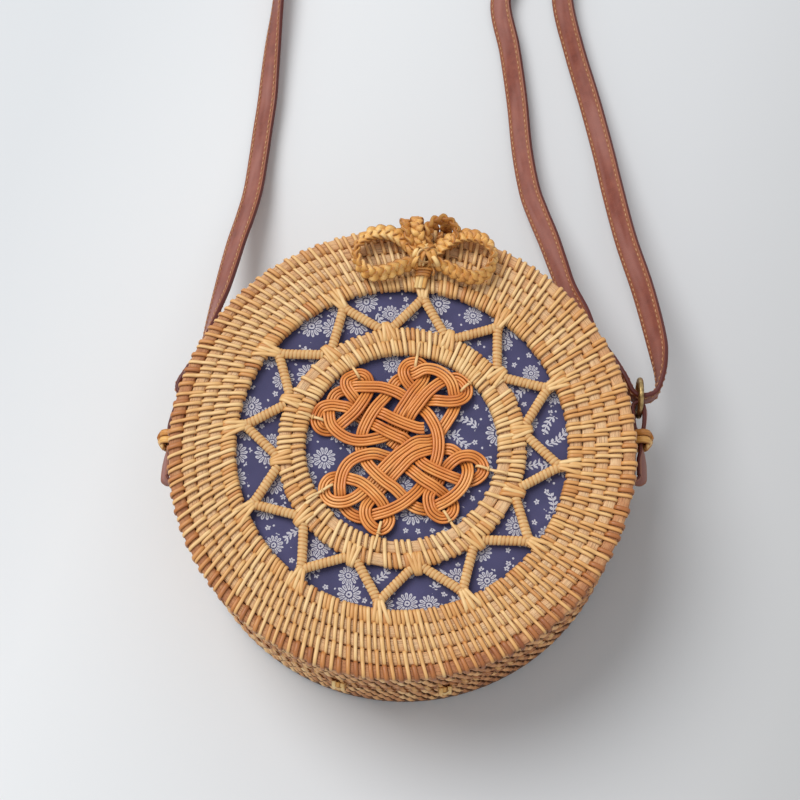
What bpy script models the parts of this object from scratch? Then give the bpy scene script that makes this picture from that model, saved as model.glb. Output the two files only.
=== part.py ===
"""Round woven crossbody bag: a hinged lid with a star window, a body, a cord closure and a leather strap."""
import math

import bpy
from mathutils import Vector

# Whole bag
OUTER_RADIUS = 0.100
DEPTH = 0.080
SEAM_HEIGHT = 0.041
FIT_GAP = 0.0003

# Border and centre frame rods of the lid's face; shares are of the bag's outer radius
ROD_PITCH_SHARE = 0.057
ROD_HEIGHT = 0.0048
BORDER_ROWS = 5
FRAME_RADIUS_SHARE = 0.53
FRAME_ROWS = 2
ROUND_STEPS = 40

# Star
STAR_POINTS = 12
STAR_TURN = math.radians(84.8)
STAR_ROD_RADIUS = 0.0021
STAR_TIP_BEND = 0.0026
STAR_FOOT_SPACING = 0.0047
STAR_BEND_STEPS = 4

# Centre knot; the band's width is a share of the knot's reach
KNOT_CLEARANCE = 0.0019
BAND_WIDTH_SHARE = 0.105
BAND_THICKNESS = 0.0011
BAND_LIFT = 0.0013
TIE_WIRE_RADIUS = 0.00045
TIE_CORNER_STEPS = 3

# Walls, rims, linings and the back panel
WALL_THICKNESS = 0.0045
WALL_INSET = 0.001
RIM_HEIGHT = 0.0047
RIM_INSET = 0.0003
LINING_THICKNESS = 0.0006
BACK_THICKNESS = 0.005
BACK_EDGE_ROUND = 0.0018
WALL_EDGE_ROUND = 0.0009

# Hinge ties
HINGE_OVERHANG = 0.0005
HINGE_ROLL_RADIUS = 0.0018
HINGE_TIE_X = 0.0230
HINGE_TIE_WIDTH = 0.009
HINGE_LEG_LENGTH = 0.014
HINGE_LEG_THICKNESS = 0.0026

# Side loops, leather tabs and rings; the left tab sits lower and its upper part leans in along the wall
SIDE_STANDOFF = 0.0052
LEFT_LOOP_Y = 0.0080
RIGHT_LOOP_Y = 0.0175
LEFT_LEAN = math.radians(-12)
RING_REACH = 0.0204
RING_Z = 0.040
RING_RADIUS = 0.00825
RING_WIRE_RADIUS = 0.00125
RING_CLEARANCE = 0.00035
TAB_THICKNESS = 0.0044
TAB_WIDTH = 0.010
TAB_WALL = 0.0019
TAB_TAIL_REACH = 0.0195
SIDE_LOOP_LENGTH = 0.005
SIDE_LOOP_LEG = 0.0024
EYE_STEPS = 6

# Bow
BOW_X = 0.0062
BOW_INSET = 0.016
BOW_STEM_RADIUS = 0.0022
BOW_KNOT_RADIUS = 0.0046
BOW_BRAID_WIDTH = 0.0045
BOW_BRAID_THICKNESS = 0.0018
BOW_TAIL_LENGTH = 0.0058
BOW_LOOP_REACH = 0.032
BOW_LOOP_TILT = math.radians(4)
BOW_STEPS = 16

# Closure
CLASP_CORD_RADIUS = 0.0012
CLASP_TURN_RADIUS = 0.0038
CLASP_LEG_X = 0.0088
CLASP_ARCH_HEIGHT = 0.0058
CLASP_STANDOFF = 0.0015
TETHER_WIDTH = 0.023
TETHER_THICKNESS = 0.0022
TETHER_FOOT_Z = 0.022

# Strap
STRAP_WIDTH = 0.012
STRAP_THICKNESS = 0.0022
KEEPER_WALL = 0.0012
KEEPER_LENGTH = 0.010
KEEPER_X = -0.020
KEEPER_Y = 0.4045
KEEPER_SIDE_GAP = 0.0013

# Levels and radii that follow from the sizes above
ROD_PITCH = OUTER_RADIUS * ROD_PITCH_SHARE
FRAME_RADIUS = OUTER_RADIUS * FRAME_RADIUS_SHARE
FACE_BASE = DEPTH - ROD_HEIGHT
FACE_MIDDLE = DEPTH - ROD_HEIGHT / 2
ROD_WIDTH = ROD_PITCH - FIT_GAP
WALL_OUTSIDE = OUTER_RADIUS - WALL_INSET
WALL_INSIDE = WALL_OUTSIDE - WALL_THICKNESS
RIM_OUTSIDE = OUTER_RADIUS - RIM_INSET
LINING_OUTSIDE = WALL_INSIDE - FIT_GAP
FRAME_INSIDE = FRAME_RADIUS - FRAME_ROWS * ROD_PITCH + FIT_GAP
BORDER_INSIDE = OUTER_RADIUS - BORDER_ROWS * ROD_PITCH + FIT_GAP
KNOT_REACH = FRAME_INSIDE - KNOT_CLEARANCE
BAND_WIDTH = KNOT_REACH * BAND_WIDTH_SHARE
HINGE_Y = -(OUTER_RADIUS + HINGE_OVERHANG)
SIDE_X = OUTER_RADIUS + SIDE_STANDOFF
TAB_WAIST_UP = SIDE_LOOP_LENGTH / 2 + FIT_GAP
BOW_Y = OUTER_RADIUS - BOW_INSET
CLASP_PIVOT_Y = OUTER_RADIUS + CLASP_STANDOFF
CLASP_PIVOT_Z = DEPTH
BOW_FLOOR = DEPTH + FIT_GAP
BOW_HEAD_BASE = BOW_FLOOR + 2 * CLASP_CORD_RADIUS + FIT_GAP

# Each side's name, which way it lies, the height of its loop up the bag and its tab's lean
SIDES = (("left", -1, LEFT_LOOP_Y, LEFT_LEAN), ("right", 1, RIGHT_LOOP_Y, 0))

# The eight-sided rod section: how much of its width and height each corner takes
CORNER_SHARE = 0.29

# Outer bends of the knot that are tied to the frame, as shares of the knot's reach: x, y
TIED_BEND_SHARES = (
    (-0.540, 0.795), (0.105, 0.958), (0.661, 0.690), (-0.915, 0.255),
    (-0.765, -0.510), (-0.180, -0.920), (0.520, -0.760), (0.880, -0.208),
)

# The open band's route through the knot, as shares of the knot's reach: x, y, and 1 over, 0 under
OPEN_BAND_SHARES = (
    (0.235, 0.20, 1), (0.165, 0.20, 1), (0.03, 0.24, 1), (-0.105, 0.293, 1), (-0.225, 0.347, 1),
    (-0.32, 0.387, 0), (-0.47, 0.453, 0), (-0.55, 0.52, 1), (-0.625, 0.62, 1), (-0.635, 0.70, 1),
    (-0.585, 0.755, 0.5), (-0.495, 0.79, 0.5), (-0.42, 0.76, 0.5), (-0.39, 0.685, 0), (-0.395, 0.585, 0.4),
    (-0.442, 0.47, 1), (-0.522, 0.347, 1), (-0.645, 0.22, 1), (-0.73, 0.163, 0), (-0.82, 0.145, 0),
    (-0.89, 0.165, 0.5), (-0.93, 0.235, 0.5), (-0.925, 0.315, 0.5), (-0.875, 0.385, 1), (-0.78, 0.415, 1),
    (-0.672, 0.407, 1), (-0.59, 0.39, 1), (-0.512, 0.34, 0), (-0.375, 0.26, 0), (-0.28, 0.205, 1),
    (-0.172, 0.152, 1), (-0.05, 0.098, 1), (0.025, 0.065, 1), (0.112, 0, 0), (0.175, -0.10, 0),
    (0.23, -0.185, 1), (0.342, -0.247, 1), (0.477, -0.302, 1), (0.60, -0.345, 1), (0.70, -0.355, 0),
    (0.80, -0.33, 0), (0.87, -0.275, 0.5), (0.883, -0.207, 0.5), (0.842, -0.125, 0.5), (0.747, -0.085, 1),
    (0.64, -0.098, 1), (0.557, -0.152, 1), (0.49, -0.22, 0.5), (0.44, -0.30, 0), (0.395, -0.40, 0),
    (0.323, -0.53, 1), (0.323, -0.625, 1), (0.363, -0.72, 1), (0.45, -0.768, 0.5), (0.53, -0.755, 0.5),
    (0.578, -0.692, 0.5), (0.57, -0.60, 0), (0.505, -0.53, 0), (0.382, -0.45, 1), (0.247, -0.37, 1),
    (0.145, -0.295, 1), (0.05, -0.212, 0), (-0.062, -0.15, 0), (-0.172, -0.122, 0.4), (-0.292, -0.107, 1),
    (-0.442, -0.145, 1), (-0.55, -0.22, 1), (-0.61, -0.328, 1), (-0.63, -0.45, 1), (-0.625, -0.545, 1),
    (-0.605, -0.637, 0), (-0.525, -0.745, 0), (-0.427, -0.795, 0), (-0.34, -0.797, 0), (-0.25, -0.775, 0.75),
    (-0.105, -0.727, 1), (0.03, -0.652, 1), (0.14, -0.557, 1), (0.215, -0.465, 0.5), (0.27, -0.367, 0),
    (0.325, -0.267, 0), (0.372, -0.175, 1), (0.395, -0.045, 1), (0.39, 0.09, 1), (0.355, 0.212, 1),
    (0.292, 0.32, 1), (0.24, 0.39, 0.5), (0.17, 0.45, 0), (0.075, 0.505, 0), (-0.022, 0.56, 1),
    (-0.117, 0.605, 1), (-0.252, 0.64, 1), (-0.40, 0.640, 1), (-0.535, 0.630, 1), (-0.625, 0.61, 0),
    (-0.705, 0.585, 0), (-0.76, 0.53, 0), (-0.792, 0.412, 0), (-0.795, 0.307, 1), (-0.76, 0.185, 1),
    (-0.657, 0.09, 1), (-0.537, 0.037, 1), (-0.415, 0.03, 1), (-0.28, 0.057, 1), (-0.182, 0.10, 0.4),
    (-0.135, 0.16, 0), (-0.085, 0.262, 0), (-0.04, 0.36, 1), (0.035, 0.495, 1), (0.105, 0.612, 1),
    (0.19, 0.745, 0.35), (0.21, 0.847, 0), (0.185, 0.91, 0.25), (0.13, 0.945, 0.5), (0.07, 0.945, 0.5),
    (0.01, 0.915, 0.5), (-0.022, 0.835, 1), (0.005, 0.74, 1), (0.07, 0.665, 0.5), (0.14, 0.605, 0),
    (0.237, 0.535, 0), (0.355, 0.515, 1), (0.477, 0.51, 1), (0.597, 0.53, 1), (0.667, 0.60, 0.5),
    (0.668, 0.685, 0.5), (0.62, 0.755, 0.4), (0.55, 0.79, 0.3), (0.465, 0.775, 0), (0.37, 0.71, 1),
    (0.255, 0.605, 1), (0.175, 0.495, 1), (0.097, 0.375, 1), (0.06, 0.305, 0.5), (0.022, 0.22, 0),
    (-0.035, 0.107, 0), (-0.117, -0.017, 0),
)

# The closed band's route, the same way
CLOSED_BAND_SHARES = (
    (0.097, 0.812, 0.7), (0.207, 0.867, 1), (0.327, 0.86, 1), (0.437, 0.80, 1), (0.505, 0.712, 1),
    (0.537, 0.605, 0.7), (0.555, 0.51, 0), (0.53, 0.40, 0.5), (0.49, 0.32, 0.5), (0.44, 0.23, 0.5),
    (0.38, 0.14, 0), (0.307, 0.077, 0.4), (0.165, 0.047, 1), (0.05, -0.035, 1), (-0.06, -0.13, 1),
    (-0.192, -0.28, 1), (-0.275, -0.372, 0), (-0.345, -0.465, 0), (-0.405, -0.55, 1), (-0.48, -0.61, 1),
    (-0.577, -0.652, 1), (-0.685, -0.652, 0.8), (-0.765, -0.605, 0.5), (-0.80, -0.53, 0.5),
    (-0.787, -0.45, 0.5), (-0.732, -0.39, 0.5), (-0.63, -0.365, 0), (-0.53, -0.397, 1), (-0.415, -0.43, 1),
    (-0.307, -0.505, 1), (-0.212, -0.597, 1), (-0.157, -0.665, 0.55), (-0.125, -0.74, 0),
    (-0.09, -0.825, 0.5),
    (-0.13, -0.905, 0.5), (-0.212, -0.93, 0.5), (-0.292, -0.882, 0.85), (-0.342, -0.802, 1),
    (-0.347, -0.707, 1), (-0.31, -0.625, 0.5), (-0.25, -0.545, 0), (-0.175, -0.45, 0), (-0.132, -0.407, 0),
    (-0.085, -0.35, 0.5), (0.025, -0.22, 1), (0.085, -0.15, 1), (0.17, -0.087, 1), (0.307, -0.032, 0.7),
    (0.40, -0.015, 0), (0.517, -0.017, 0.5), (0.585, -0.052, 0.5), (0.655, -0.105, 0), (0.707, -0.18, 0.3),
    (0.72, -0.287, 1), (0.68, -0.41, 1), (0.597, -0.517, 1), (0.505, -0.592, 1), (0.422, -0.64, 1),
    (0.332, -0.675, 0), (0.275, -0.682, 0), (0.187, -0.67, 0.5), (0.10, -0.612, 0), (0.03, -0.545, 0.65),
    (-0.05, -0.477, 1), (-0.172, -0.395, 1), (-0.28, -0.302, 1), (-0.36, -0.212, 0.75), (-0.397, -0.125, 0),
    (-0.435, -0.05, 0.5), (-0.43, 0.03, 0), (-0.427, 0.117, 1), (-0.375, 0.265, 1), (-0.292, 0.415, 1),
    (-0.197, 0.545, 0.5), (-0.157, 0.622, 0), (-0.097, 0.72, 0.5), (-0.015, 0.78, 0),
)

# Half of a bow loop's outline, as shares of its reach from the knot: along, across
BOW_LOOP_SHARES = (
    (0.16, 0.06), (0.34, 0.24), (0.58, 0.33), (0.82, 0.28), (0.97, 0.12), (1.0, -0.03),
    (0.92, -0.22), (0.74, -0.33), (0.52, -0.28), (0.32, -0.17), (0.16, -0.08),
)

# The strap's route from its end past the left ring to its end on the doubled part: -1 by the left ring, 1 by
# the right ring or 0 between, x from there, y and z in metres, and the roll in degrees, 0 on edge and 90 flat
STRAP_ROUTE = (
    (-1, 0.0149, 0.0554, 0.0385, 0), (-1, 0.0127, 0.0456, 0.0395, 0), (-1, 0.0105, 0.0378, 0.0400, 0),
    (-1, 0.0085, 0.0327, 0.0400, 0), (-1, 0.0060, 0.0302, 0.0400, 0), (-1, 0.0031, 0.0298, 0.0400, 0),
    (-1, 0.0012, 0.0313, 0.0400, 0), (-1, 0.0014, 0.0352, 0.0400, 0), (-1, 0.0048, 0.0417, 0.0398, 0),
    (-1, 0.0086, 0.0490, 0.0392, 2), (-1, 0.0107, 0.0566, 0.0380, 8), (-1, 0.0115, 0.0640, 0.0350, 22),
    (-1, 0.0130, 0.0757, 0.0305, 34), (-1, 0.0146, 0.0875, 0.0260, 45), (-1, 0.0163, 0.1025, 0.0205, 52),
    (-1, 0.0182, 0.1176, 0.0155, 55), (-1, 0.0209, 0.1328, 0.0110, 57), (-1, 0.0230, 0.1478, 0.0076, 57),
    (-1, 0.0240, 0.1652, 0.0052, 57), (-1, 0.0249, 0.1820, 0.0046, 57), (-1, 0.0260, 0.1987, 0.0047, 56),
    (-1, 0.0263, 0.2154, 0.0051, 50), (-1, 0.0267, 0.2322, 0.0055, 42), (-1, 0.0276, 0.2549, 0.0061, 28),
    (-1, 0.0280, 0.2820, 0.0061, 28), (-1, 0.0287, 0.3100, 0.0055, 42), (-1, 0.0322, 0.3420, 0.0042, 62),
    (-1, 0.0387, 0.3700, 0.0027, 80), (0, -0.0545, 0.3920, 0.0025, 88), (0, -0.0380, 0.4020, 0.0029, 90),
    (0, -0.0200, 0.4045, 0.0029, 90), (0, -0.0020, 0.4020, 0.0029, 90), (0, 0.0175, 0.3930, 0.0022, 90),
    (0, 0.0370, 0.3770, 0.0021, 95), (0, 0.0540, 0.3540, 0.0036, 113), (1, -0.0420, 0.3240, 0.0045, 125),
    (1, -0.0380, 0.2920, 0.0047, 128), (1, -0.0374, 0.2612, 0.0047, 128), (1, -0.0309, 0.2327, 0.0050, 134),
    (1, -0.0229, 0.2043, 0.0062, 131), (1, -0.0159, 0.1755, 0.0095, 131), (1, -0.0112, 0.1521, 0.0140, 130),
    (1, -0.0050, 0.1233, 0.0205, 133), (1, 0.0026, 0.0953, 0.0275, 133), (1, 0.0082, 0.0680, 0.0350, 141),
    (1, 0.0097, 0.0545, 0.0388, 160), (1, 0.0092, 0.0450, 0.0400, 178),
    (1, 0.0070, 0.0398, 0.0400, 180), (1, 0.0028, 0.0378, 0.0400, 180), (1, -0.0008, 0.0378, 0.0400, 180),
    (1, -0.0038, 0.0402, 0.0400, 180), (1, -0.0068, 0.0462, 0.0400, 181), (1, -0.0122, 0.0550, 0.0380, 186),
    (1, -0.0205, 0.0668, 0.0350, 194), (1, -0.0260, 0.0803, 0.0310, 205), (1, -0.0327, 0.0942, 0.0265, 213),
    (1, -0.0372, 0.1087, 0.0215, 220), (1, -0.0416, 0.1232, 0.0170, 226), (1, -0.0468, 0.1378, 0.0130, 228),
    (1, -0.0514, 0.1523, 0.0098, 229), (1, -0.0556, 0.1753, 0.0066, 229), (1, -0.0589, 0.2034, 0.0051, 231),
    (1, -0.0634, 0.2316, 0.0047, 232), (1, -0.0690, 0.2601, 0.0047, 233), (0, 0.0435, 0.2860, 0.0047, 235),
    (0, 0.0390, 0.3120, 0.0045, 241), (0, 0.0330, 0.3400, 0.0043, 254), (0, 0.0240, 0.3660, 0.0050, 267),
    (0, 0.0110, 0.3880, 0.0056, 270), (0, -0.0050, 0.4010, 0.0054, 270), (0, -0.0200, 0.4045, 0.0054, 270),
    (0, -0.0350, 0.4025, 0.0054, 270),
)

MERGE_DISTANCE = 0.00001
ROLL_PLACE = 3
ROUTE_DIVISIONS = 3
STRAP_TURN_LIMIT = math.radians(12)
RING_SECTION_STEPS = 8

# Looks: colour, roughness, metallic
RATTAN_PALE = ((0.76, 0.52, 0.27), 0.55)
RATTAN_WALL = ((0.42, 0.24, 0.10), 0.65)
KNOT_CANE = ((0.56, 0.25, 0.08), 0.45)
STRAW_BRAID = ((0.58, 0.33, 0.10), 0.6)
COTTON_PRINT = ((0.055, 0.06, 0.16), 0.85)
STRAP_LEATHER = ((0.20, 0.045, 0.03), 0.5)
OLD_BRASS = ((0.55, 0.40, 0.18), 0.4, 1.0)


def clear_scene():
    for obj in list(bpy.data.objects):
        bpy.data.objects.remove(obj)


def make_collection(name):
    collection = bpy.data.collections.new(name)
    bpy.context.scene.collection.children.link(collection)
    return collection


def make_material(name, colour, roughness, metallic=0.0):
    material = bpy.data.materials.new(name)
    material.use_nodes = True
    shader = material.node_tree.nodes["Principled BSDF"]
    shader.inputs["Base Color"].default_value = (*colour, 1.0)
    shader.inputs["Roughness"].default_value = roughness
    shader.inputs["Metallic"].default_value = metallic
    return material


def add_part(name, data, look):
    """Link one named sub-part with its own material."""
    obj = bpy.data.objects.new(name, data)
    PARTS.objects.link(obj)
    data.materials.append(make_material(name, *look))
    return obj


def hang_on(obj, pivot):
    """Parent a moving piece to the empty on its joint's axis, without moving it."""
    obj.parent = pivot
    obj.location = obj.location - pivot.location


def rod_section(radius, level, width, height):
    """Eight-sided rod section, running down its outer side, as points (radius, level)."""
    across, up = width / 2, height / 2
    cut_across, cut_up = width * CORNER_SHARE, height * CORNER_SHARE
    corners = (
        (-across + cut_across, up), (across - cut_across, up),
        (across, up - cut_up), (across, -up + cut_up),
        (across - cut_across, -up), (-across + cut_across, -up),
        (-across, -up + cut_up), (-across, up - cut_up),
    )
    return [(radius + x, level + z) for x, z in corners]


def turned(name, profile, look, closed=True, steps=ROUND_STEPS):
    """A piece of revolution about Z from a profile at +X."""
    mesh = bpy.data.meshes.new(name)
    edges = [(i, i + 1) for i in range(len(profile) - 1)]
    if closed:
        edges.append((len(profile) - 1, 0))
    mesh.from_pydata([(radius, 0, level) for radius, level in profile], edges, [])
    obj = add_part(name, mesh, look)
    screw = obj.modifiers.new("Turn", "SCREW")
    screw.steps = steps
    screw.render_steps = steps
    screw.use_merge_vertices = True
    screw.merge_threshold = MERGE_DISTANCE
    screw.use_smooth_shade = True
    return obj


def curve_through(name, points, look, cyclic=False):
    """A curve object on straight spans through points (x, y, z) or (x, y, z, roll)."""
    curve = bpy.data.curves.new(name, "CURVE")
    curve.dimensions = "3D"
    curve.twist_mode = "Z_UP"
    spline = curve.splines.new("POLY")
    spline.points.add(len(points) - 1)
    for node, point in zip(spline.points, points):
        node.co = (point[0], point[1], point[2], 1)
        if len(point) > ROLL_PLACE:
            node.tilt = point[ROLL_PLACE]
    spline.use_cyclic_u = cyclic
    return add_part(name, curve, look)


def tube(name, points, radius, look, cyclic=False, sides_setting=2):
    obj = curve_through(name, points, look, cyclic)
    obj.data.twist_mode = "MINIMUM"
    obj.data.bevel_depth = radius
    obj.data.bevel_resolution = sides_setting
    obj.data.use_fill_caps = not cyclic
    return obj


def strip(name, points, width, thickness, look, cyclic=False, sides_setting=0):
    """A flat strip with rounded edges, its width along Z where its roll is 0."""
    obj = curve_through(name, points, look, cyclic)
    obj.data.bevel_depth = thickness / 2
    obj.data.extrude = (width - thickness) / 2
    obj.data.bevel_resolution = sides_setting
    obj.data.use_fill_caps = not cyclic
    return obj


def plate(name, outlines, thickness, look):
    """Flat outlines, holes included, given body by an extrude both ways."""
    curve = bpy.data.curves.new(name, "CURVE")
    curve.dimensions = "2D"
    curve.fill_mode = "BOTH"
    curve.extrude = thickness / 2
    for outline in outlines:
        spline = curve.splines.new("POLY")
        spline.points.add(len(outline) - 1)
        for node, (x, y) in zip(spline.points, outline):
            node.co = (x, y, 0, 1)
        spline.use_cyclic_u = True
    return add_part(name, curve, look)


def arc(centre, radius, start, end, steps):
    """Points (x, y) on an arc, both ends included."""
    turn = (end - start) / steps
    return [
        (centre[0] + radius * math.cos(start + turn * i), centre[1] + radius * math.sin(start + turn * i))
        for i in range(steps + 1)
    ]


def smooth_route(points, divisions, closed=False):
    """Points on a Catmull-Rom curve through the given ones, of any number of values each."""
    count = len(points)
    spans = count if closed else count - 1
    route = []
    for i in range(spans):
        if closed:
            around = [points[(i + k) % count] for k in (-1, 0, 1, 2)]
        else:
            around = [points[min(max(i + k, 0), count - 1)] for k in (-1, 0, 1, 2)]
        for step in range(divisions):
            t = step / divisions
            weights = (
                (-t + 2 * t**2 - t**3) / 2, (2 - 5 * t**2 + 3 * t**3) / 2,
                (t + 4 * t**2 - 3 * t**3) / 2, (-(t**2) + t**3) / 2,
            )
            route.append(tuple(sum(w * p[k] for w, p in zip(weights, around)) for k in range(len(points[0]))))
    if not closed:
        route.append(tuple(points[-1]))
    return route


def make_border_rods():
    for row in range(BORDER_ROWS):
        radius = OUTER_RADIUS - ROD_WIDTH / 2 - row * ROD_PITCH
        section = rod_section(radius, FACE_MIDDLE, ROD_WIDTH, ROD_HEIGHT)
        hang_on(turned(f"border_hoop_{row + 1}", section, RATTAN_PALE), LID_PIVOT)


def make_frame_rods():
    for row, name in enumerate(("ring_hoop_outer", "ring_hoop_inner")):
        radius = FRAME_RADIUS - ROD_WIDTH / 2 - row * ROD_PITCH
        section = rod_section(radius, FACE_MIDDLE, ROD_WIDTH, ROD_HEIGHT)
        hang_on(turned(name, section, RATTAN_PALE), LID_PIVOT)


def star_point_route(tip_angle):
    """One V of the star: from the frame out to its bend at the border and back to the frame."""
    half = math.pi / STAR_POINTS
    tip_reach = BORDER_INSIDE - FIT_GAP - STAR_ROD_RADIUS
    foot_reach = FRAME_RADIUS + FIT_GAP + STAR_ROD_RADIUS
    foot_half = half - STAR_FOOT_SPACING / (2 * foot_reach)
    foot = Vector((foot_reach * math.cos(foot_half), foot_reach * math.sin(foot_half)))
    bend_centre = Vector((tip_reach - STAR_TIP_BEND, 0))
    leg_angle = math.atan2(foot.y, foot.x - bend_centre.x)
    bend_start = leg_angle - math.acos(STAR_TIP_BEND / (foot - bend_centre).length)
    bend = arc(bend_centre, STAR_TIP_BEND, bend_start, -bend_start, 2 * STAR_BEND_STEPS)
    flat = [tuple(foot)] + bend + [(foot.x, -foot.y)]
    turn_cos, turn_sin = math.cos(tip_angle), math.sin(tip_angle)
    return [(x * turn_cos - y * turn_sin, x * turn_sin + y * turn_cos, 0) for x, y in flat]


def make_star():
    for k in range(STAR_POINTS):
        route = star_point_route(STAR_TURN - k * 2 * math.pi / STAR_POINTS)
        rod = tube(f"star_point_{k + 1:02d}", route, STAR_ROD_RADIUS, RATTAN_PALE)
        rod.location.z = FACE_MIDDLE
        hang_on(rod, LID_PIVOT)


def band_route(shares):
    """The band's middle line: shares of the knot's reach, lifted or lowered at each crossing."""
    flat_roll = math.pi / 2
    return [(x * KNOT_REACH, y * KNOT_REACH, (2 * over - 1) * BAND_LIFT, flat_roll) for x, y, over in shares]


def make_knot():
    for name, shares, closed in (
        ("knot_band_open", OPEN_BAND_SHARES, False), ("knot_band_closed", CLOSED_BAND_SHARES, True),
    ):
        band = strip(name, band_route(shares), BAND_WIDTH, BAND_THICKNESS, KNOT_CANE, cyclic=closed)
        band.location.z = FACE_MIDDLE
        hang_on(band, LID_PIVOT)


def make_knot_ties():
    """A small lashing round each tied bend, reaching out to the frame's inner rod."""
    round_corner = BAND_THICKNESS / 2 + FIT_GAP + TIE_WIRE_RADIUS
    outer_end = FRAME_INSIDE - FIT_GAP - TIE_WIRE_RADIUS - round_corner
    for number, (share_x, share_y) in enumerate(TIED_BEND_SHARES):
        bend = Vector((share_x * KNOT_REACH, share_y * KNOT_REACH))
        inner_end = bend.length - BAND_WIDTH / 2
        outline = arc((outer_end, 0), round_corner, -math.pi / 2, math.pi / 2, 2 * TIE_CORNER_STEPS)
        outline += arc((inner_end, 0), round_corner, math.pi / 2, 3 * math.pi / 2, 2 * TIE_CORNER_STEPS)
        towards = bend.normalized()
        route = [(towards.x * out, towards.y * out, up) for out, up in outline]
        tie = tube(f"knot_tie_{number + 1}", route, TIE_WIRE_RADIUS, KNOT_CANE, cyclic=True, sides_setting=0)
        tie.location.z = FACE_MIDDLE
        hang_on(tie, LID_PIVOT)


def wall_profile(low, high):
    """A wall's section with eased edges, running down its outer side."""
    ease = WALL_EDGE_ROUND
    return [
        (WALL_INSIDE + ease, high), (WALL_OUTSIDE - ease, high), (WALL_OUTSIDE, high - ease),
        (WALL_OUTSIDE, low + ease), (WALL_OUTSIDE - ease, low), (WALL_INSIDE + ease, low),
        (WALL_INSIDE, low + ease), (WALL_INSIDE, high - ease),
    ]


def make_rim(name, level):
    width = RIM_OUTSIDE - WALL_INSIDE
    return turned(name, rod_section(RIM_OUTSIDE - width / 2, level, width, RIM_HEIGHT), RATTAN_PALE)


def cup_profile(closed_level, open_level, outward):
    """A cup's section from the axis: outward is 1 with the closed end up and -1 with it down."""
    thick = LINING_THICKNESS
    profile = [
        (0, closed_level), (LINING_OUTSIDE, closed_level), (LINING_OUTSIDE, open_level),
        (LINING_OUTSIDE - thick, open_level), (LINING_OUTSIDE - thick, closed_level - outward * thick),
        (0, closed_level - outward * thick),
    ]
    return profile if outward > 0 else profile[::-1]


def make_lid_shell():
    rim_base = SEAM_HEIGHT + FIT_GAP / 2
    wall = turned("lid_wall", wall_profile(rim_base + RIM_HEIGHT + FIT_GAP, FACE_BASE - FIT_GAP), RATTAN_WALL)
    rim = make_rim("lid_rim", rim_base + RIM_HEIGHT / 2)
    lining = turned("lid_lining", cup_profile(FACE_BASE - FIT_GAP, rim_base, 1), COTTON_PRINT, closed=False)
    for piece in (wall, rim, lining):
        hang_on(piece, LID_PIVOT)


def make_body_shell():
    rim_top = SEAM_HEIGHT - FIT_GAP / 2
    wall_base = BACK_THICKNESS + FIT_GAP
    turned("body_wall", wall_profile(wall_base, rim_top - RIM_HEIGHT - FIT_GAP), RATTAN_WALL)
    make_rim("body_rim", rim_top - RIM_HEIGHT / 2)
    turned("body_lining", cup_profile(wall_base, rim_top, -1), COTTON_PRINT, closed=False)
    ease = BACK_EDGE_ROUND
    back = [
        (0, BACK_THICKNESS), (WALL_OUTSIDE - ease, BACK_THICKNESS), (WALL_OUTSIDE, BACK_THICKNESS - ease),
        (WALL_OUTSIDE, ease), (WALL_OUTSIDE - ease, 0), (0, 0),
    ]
    turned("back_panel", back, RATTAN_WALL, closed=False)


def make_hinge_ties():
    """Each tie: a roll round the hinge axis, with a leg against the body's wall."""
    near_edge = HINGE_TIE_X - HINGE_TIE_WIDTH / 2
    wall_there = math.sqrt(RIM_OUTSIDE**2 - near_edge**2)
    leg_inside = -(wall_there + FIT_GAP) - HINGE_Y
    leg_outside = leg_inside - HINGE_LEG_THICKNESS
    start = math.acos(min(leg_inside / HINGE_ROLL_RADIUS, 1))
    roll = arc((0, 0), HINGE_ROLL_RADIUS, -start, math.pi, 2 * EYE_STEPS)
    outline = roll + [(leg_outside, -HINGE_ROLL_RADIUS), (leg_outside, -HINGE_LEG_LENGTH)]
    outline.append((leg_inside, -HINGE_LEG_LENGTH))
    for name, side in (("hinge_tie_left", -1), ("hinge_tie_right", 1)):
        tie = plate(name, [outline], HINGE_TIE_WIDTH, STRAW_BRAID)
        tie.rotation_euler = (math.pi / 2, 0, math.pi / 2)
        tie.location = (side * HINGE_TIE_X, HINGE_Y, SEAM_HEIGHT)


def make_side_loops():
    """Braided loops on the body's wall that hold the leather tabs."""
    hole_half = TAB_THICKNESS / 2 + FIT_GAP
    hole_up = TAB_WIDTH / 2 + FIT_GAP
    outer_half, outer_up = hole_half + SIDE_LOOP_LEG, hole_up + SIDE_LOOP_LEG
    root_top = SEAM_HEIGHT - FIT_GAP - RING_Z
    ease = SIDE_LOOP_LEG / 2
    for name, side, loop_y, _ in SIDES:
        near = loop_y - SIDE_LOOP_LENGTH / 2
        root = math.sqrt(RIM_OUTSIDE**2 - near**2) + FIT_GAP
        outer = [
            (root - SIDE_X, -outer_up), (outer_half - ease, -outer_up), (outer_half, -outer_up + ease),
            (outer_half, outer_up - ease), (outer_half - ease, outer_up), (-outer_half + ease, outer_up),
            (-outer_half, outer_up - ease), (-outer_half, root_top), (root - SIDE_X, root_top),
        ]
        inner = [(-hole_half, -hole_up), (hole_half, -hole_up), (hole_half, hole_up), (-hole_half, hole_up)]
        outlines = [[(side * x, y) for x, y in outline] for outline in (outer, inner)]
        loop = plate(f"side_loop_{name}", outlines, SIDE_LOOP_LENGTH, STRAW_BRAID)
        loop.rotation_euler.x = math.pi / 2
        loop.location = (side * SIDE_X, loop_y, RING_Z)


def leant(points, lean):
    """Points of a tab with its part above the side loop turned by the lean."""
    turned_points = []
    for x, y in points:
        up = y - TAB_WAIST_UP
        if up > 0:
            y = TAB_WAIST_UP + x * math.sin(lean) + up * math.cos(lean)
            x = x * math.cos(lean) - up * math.sin(lean)
        turned_points.append((x, y))
    return turned_points


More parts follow.
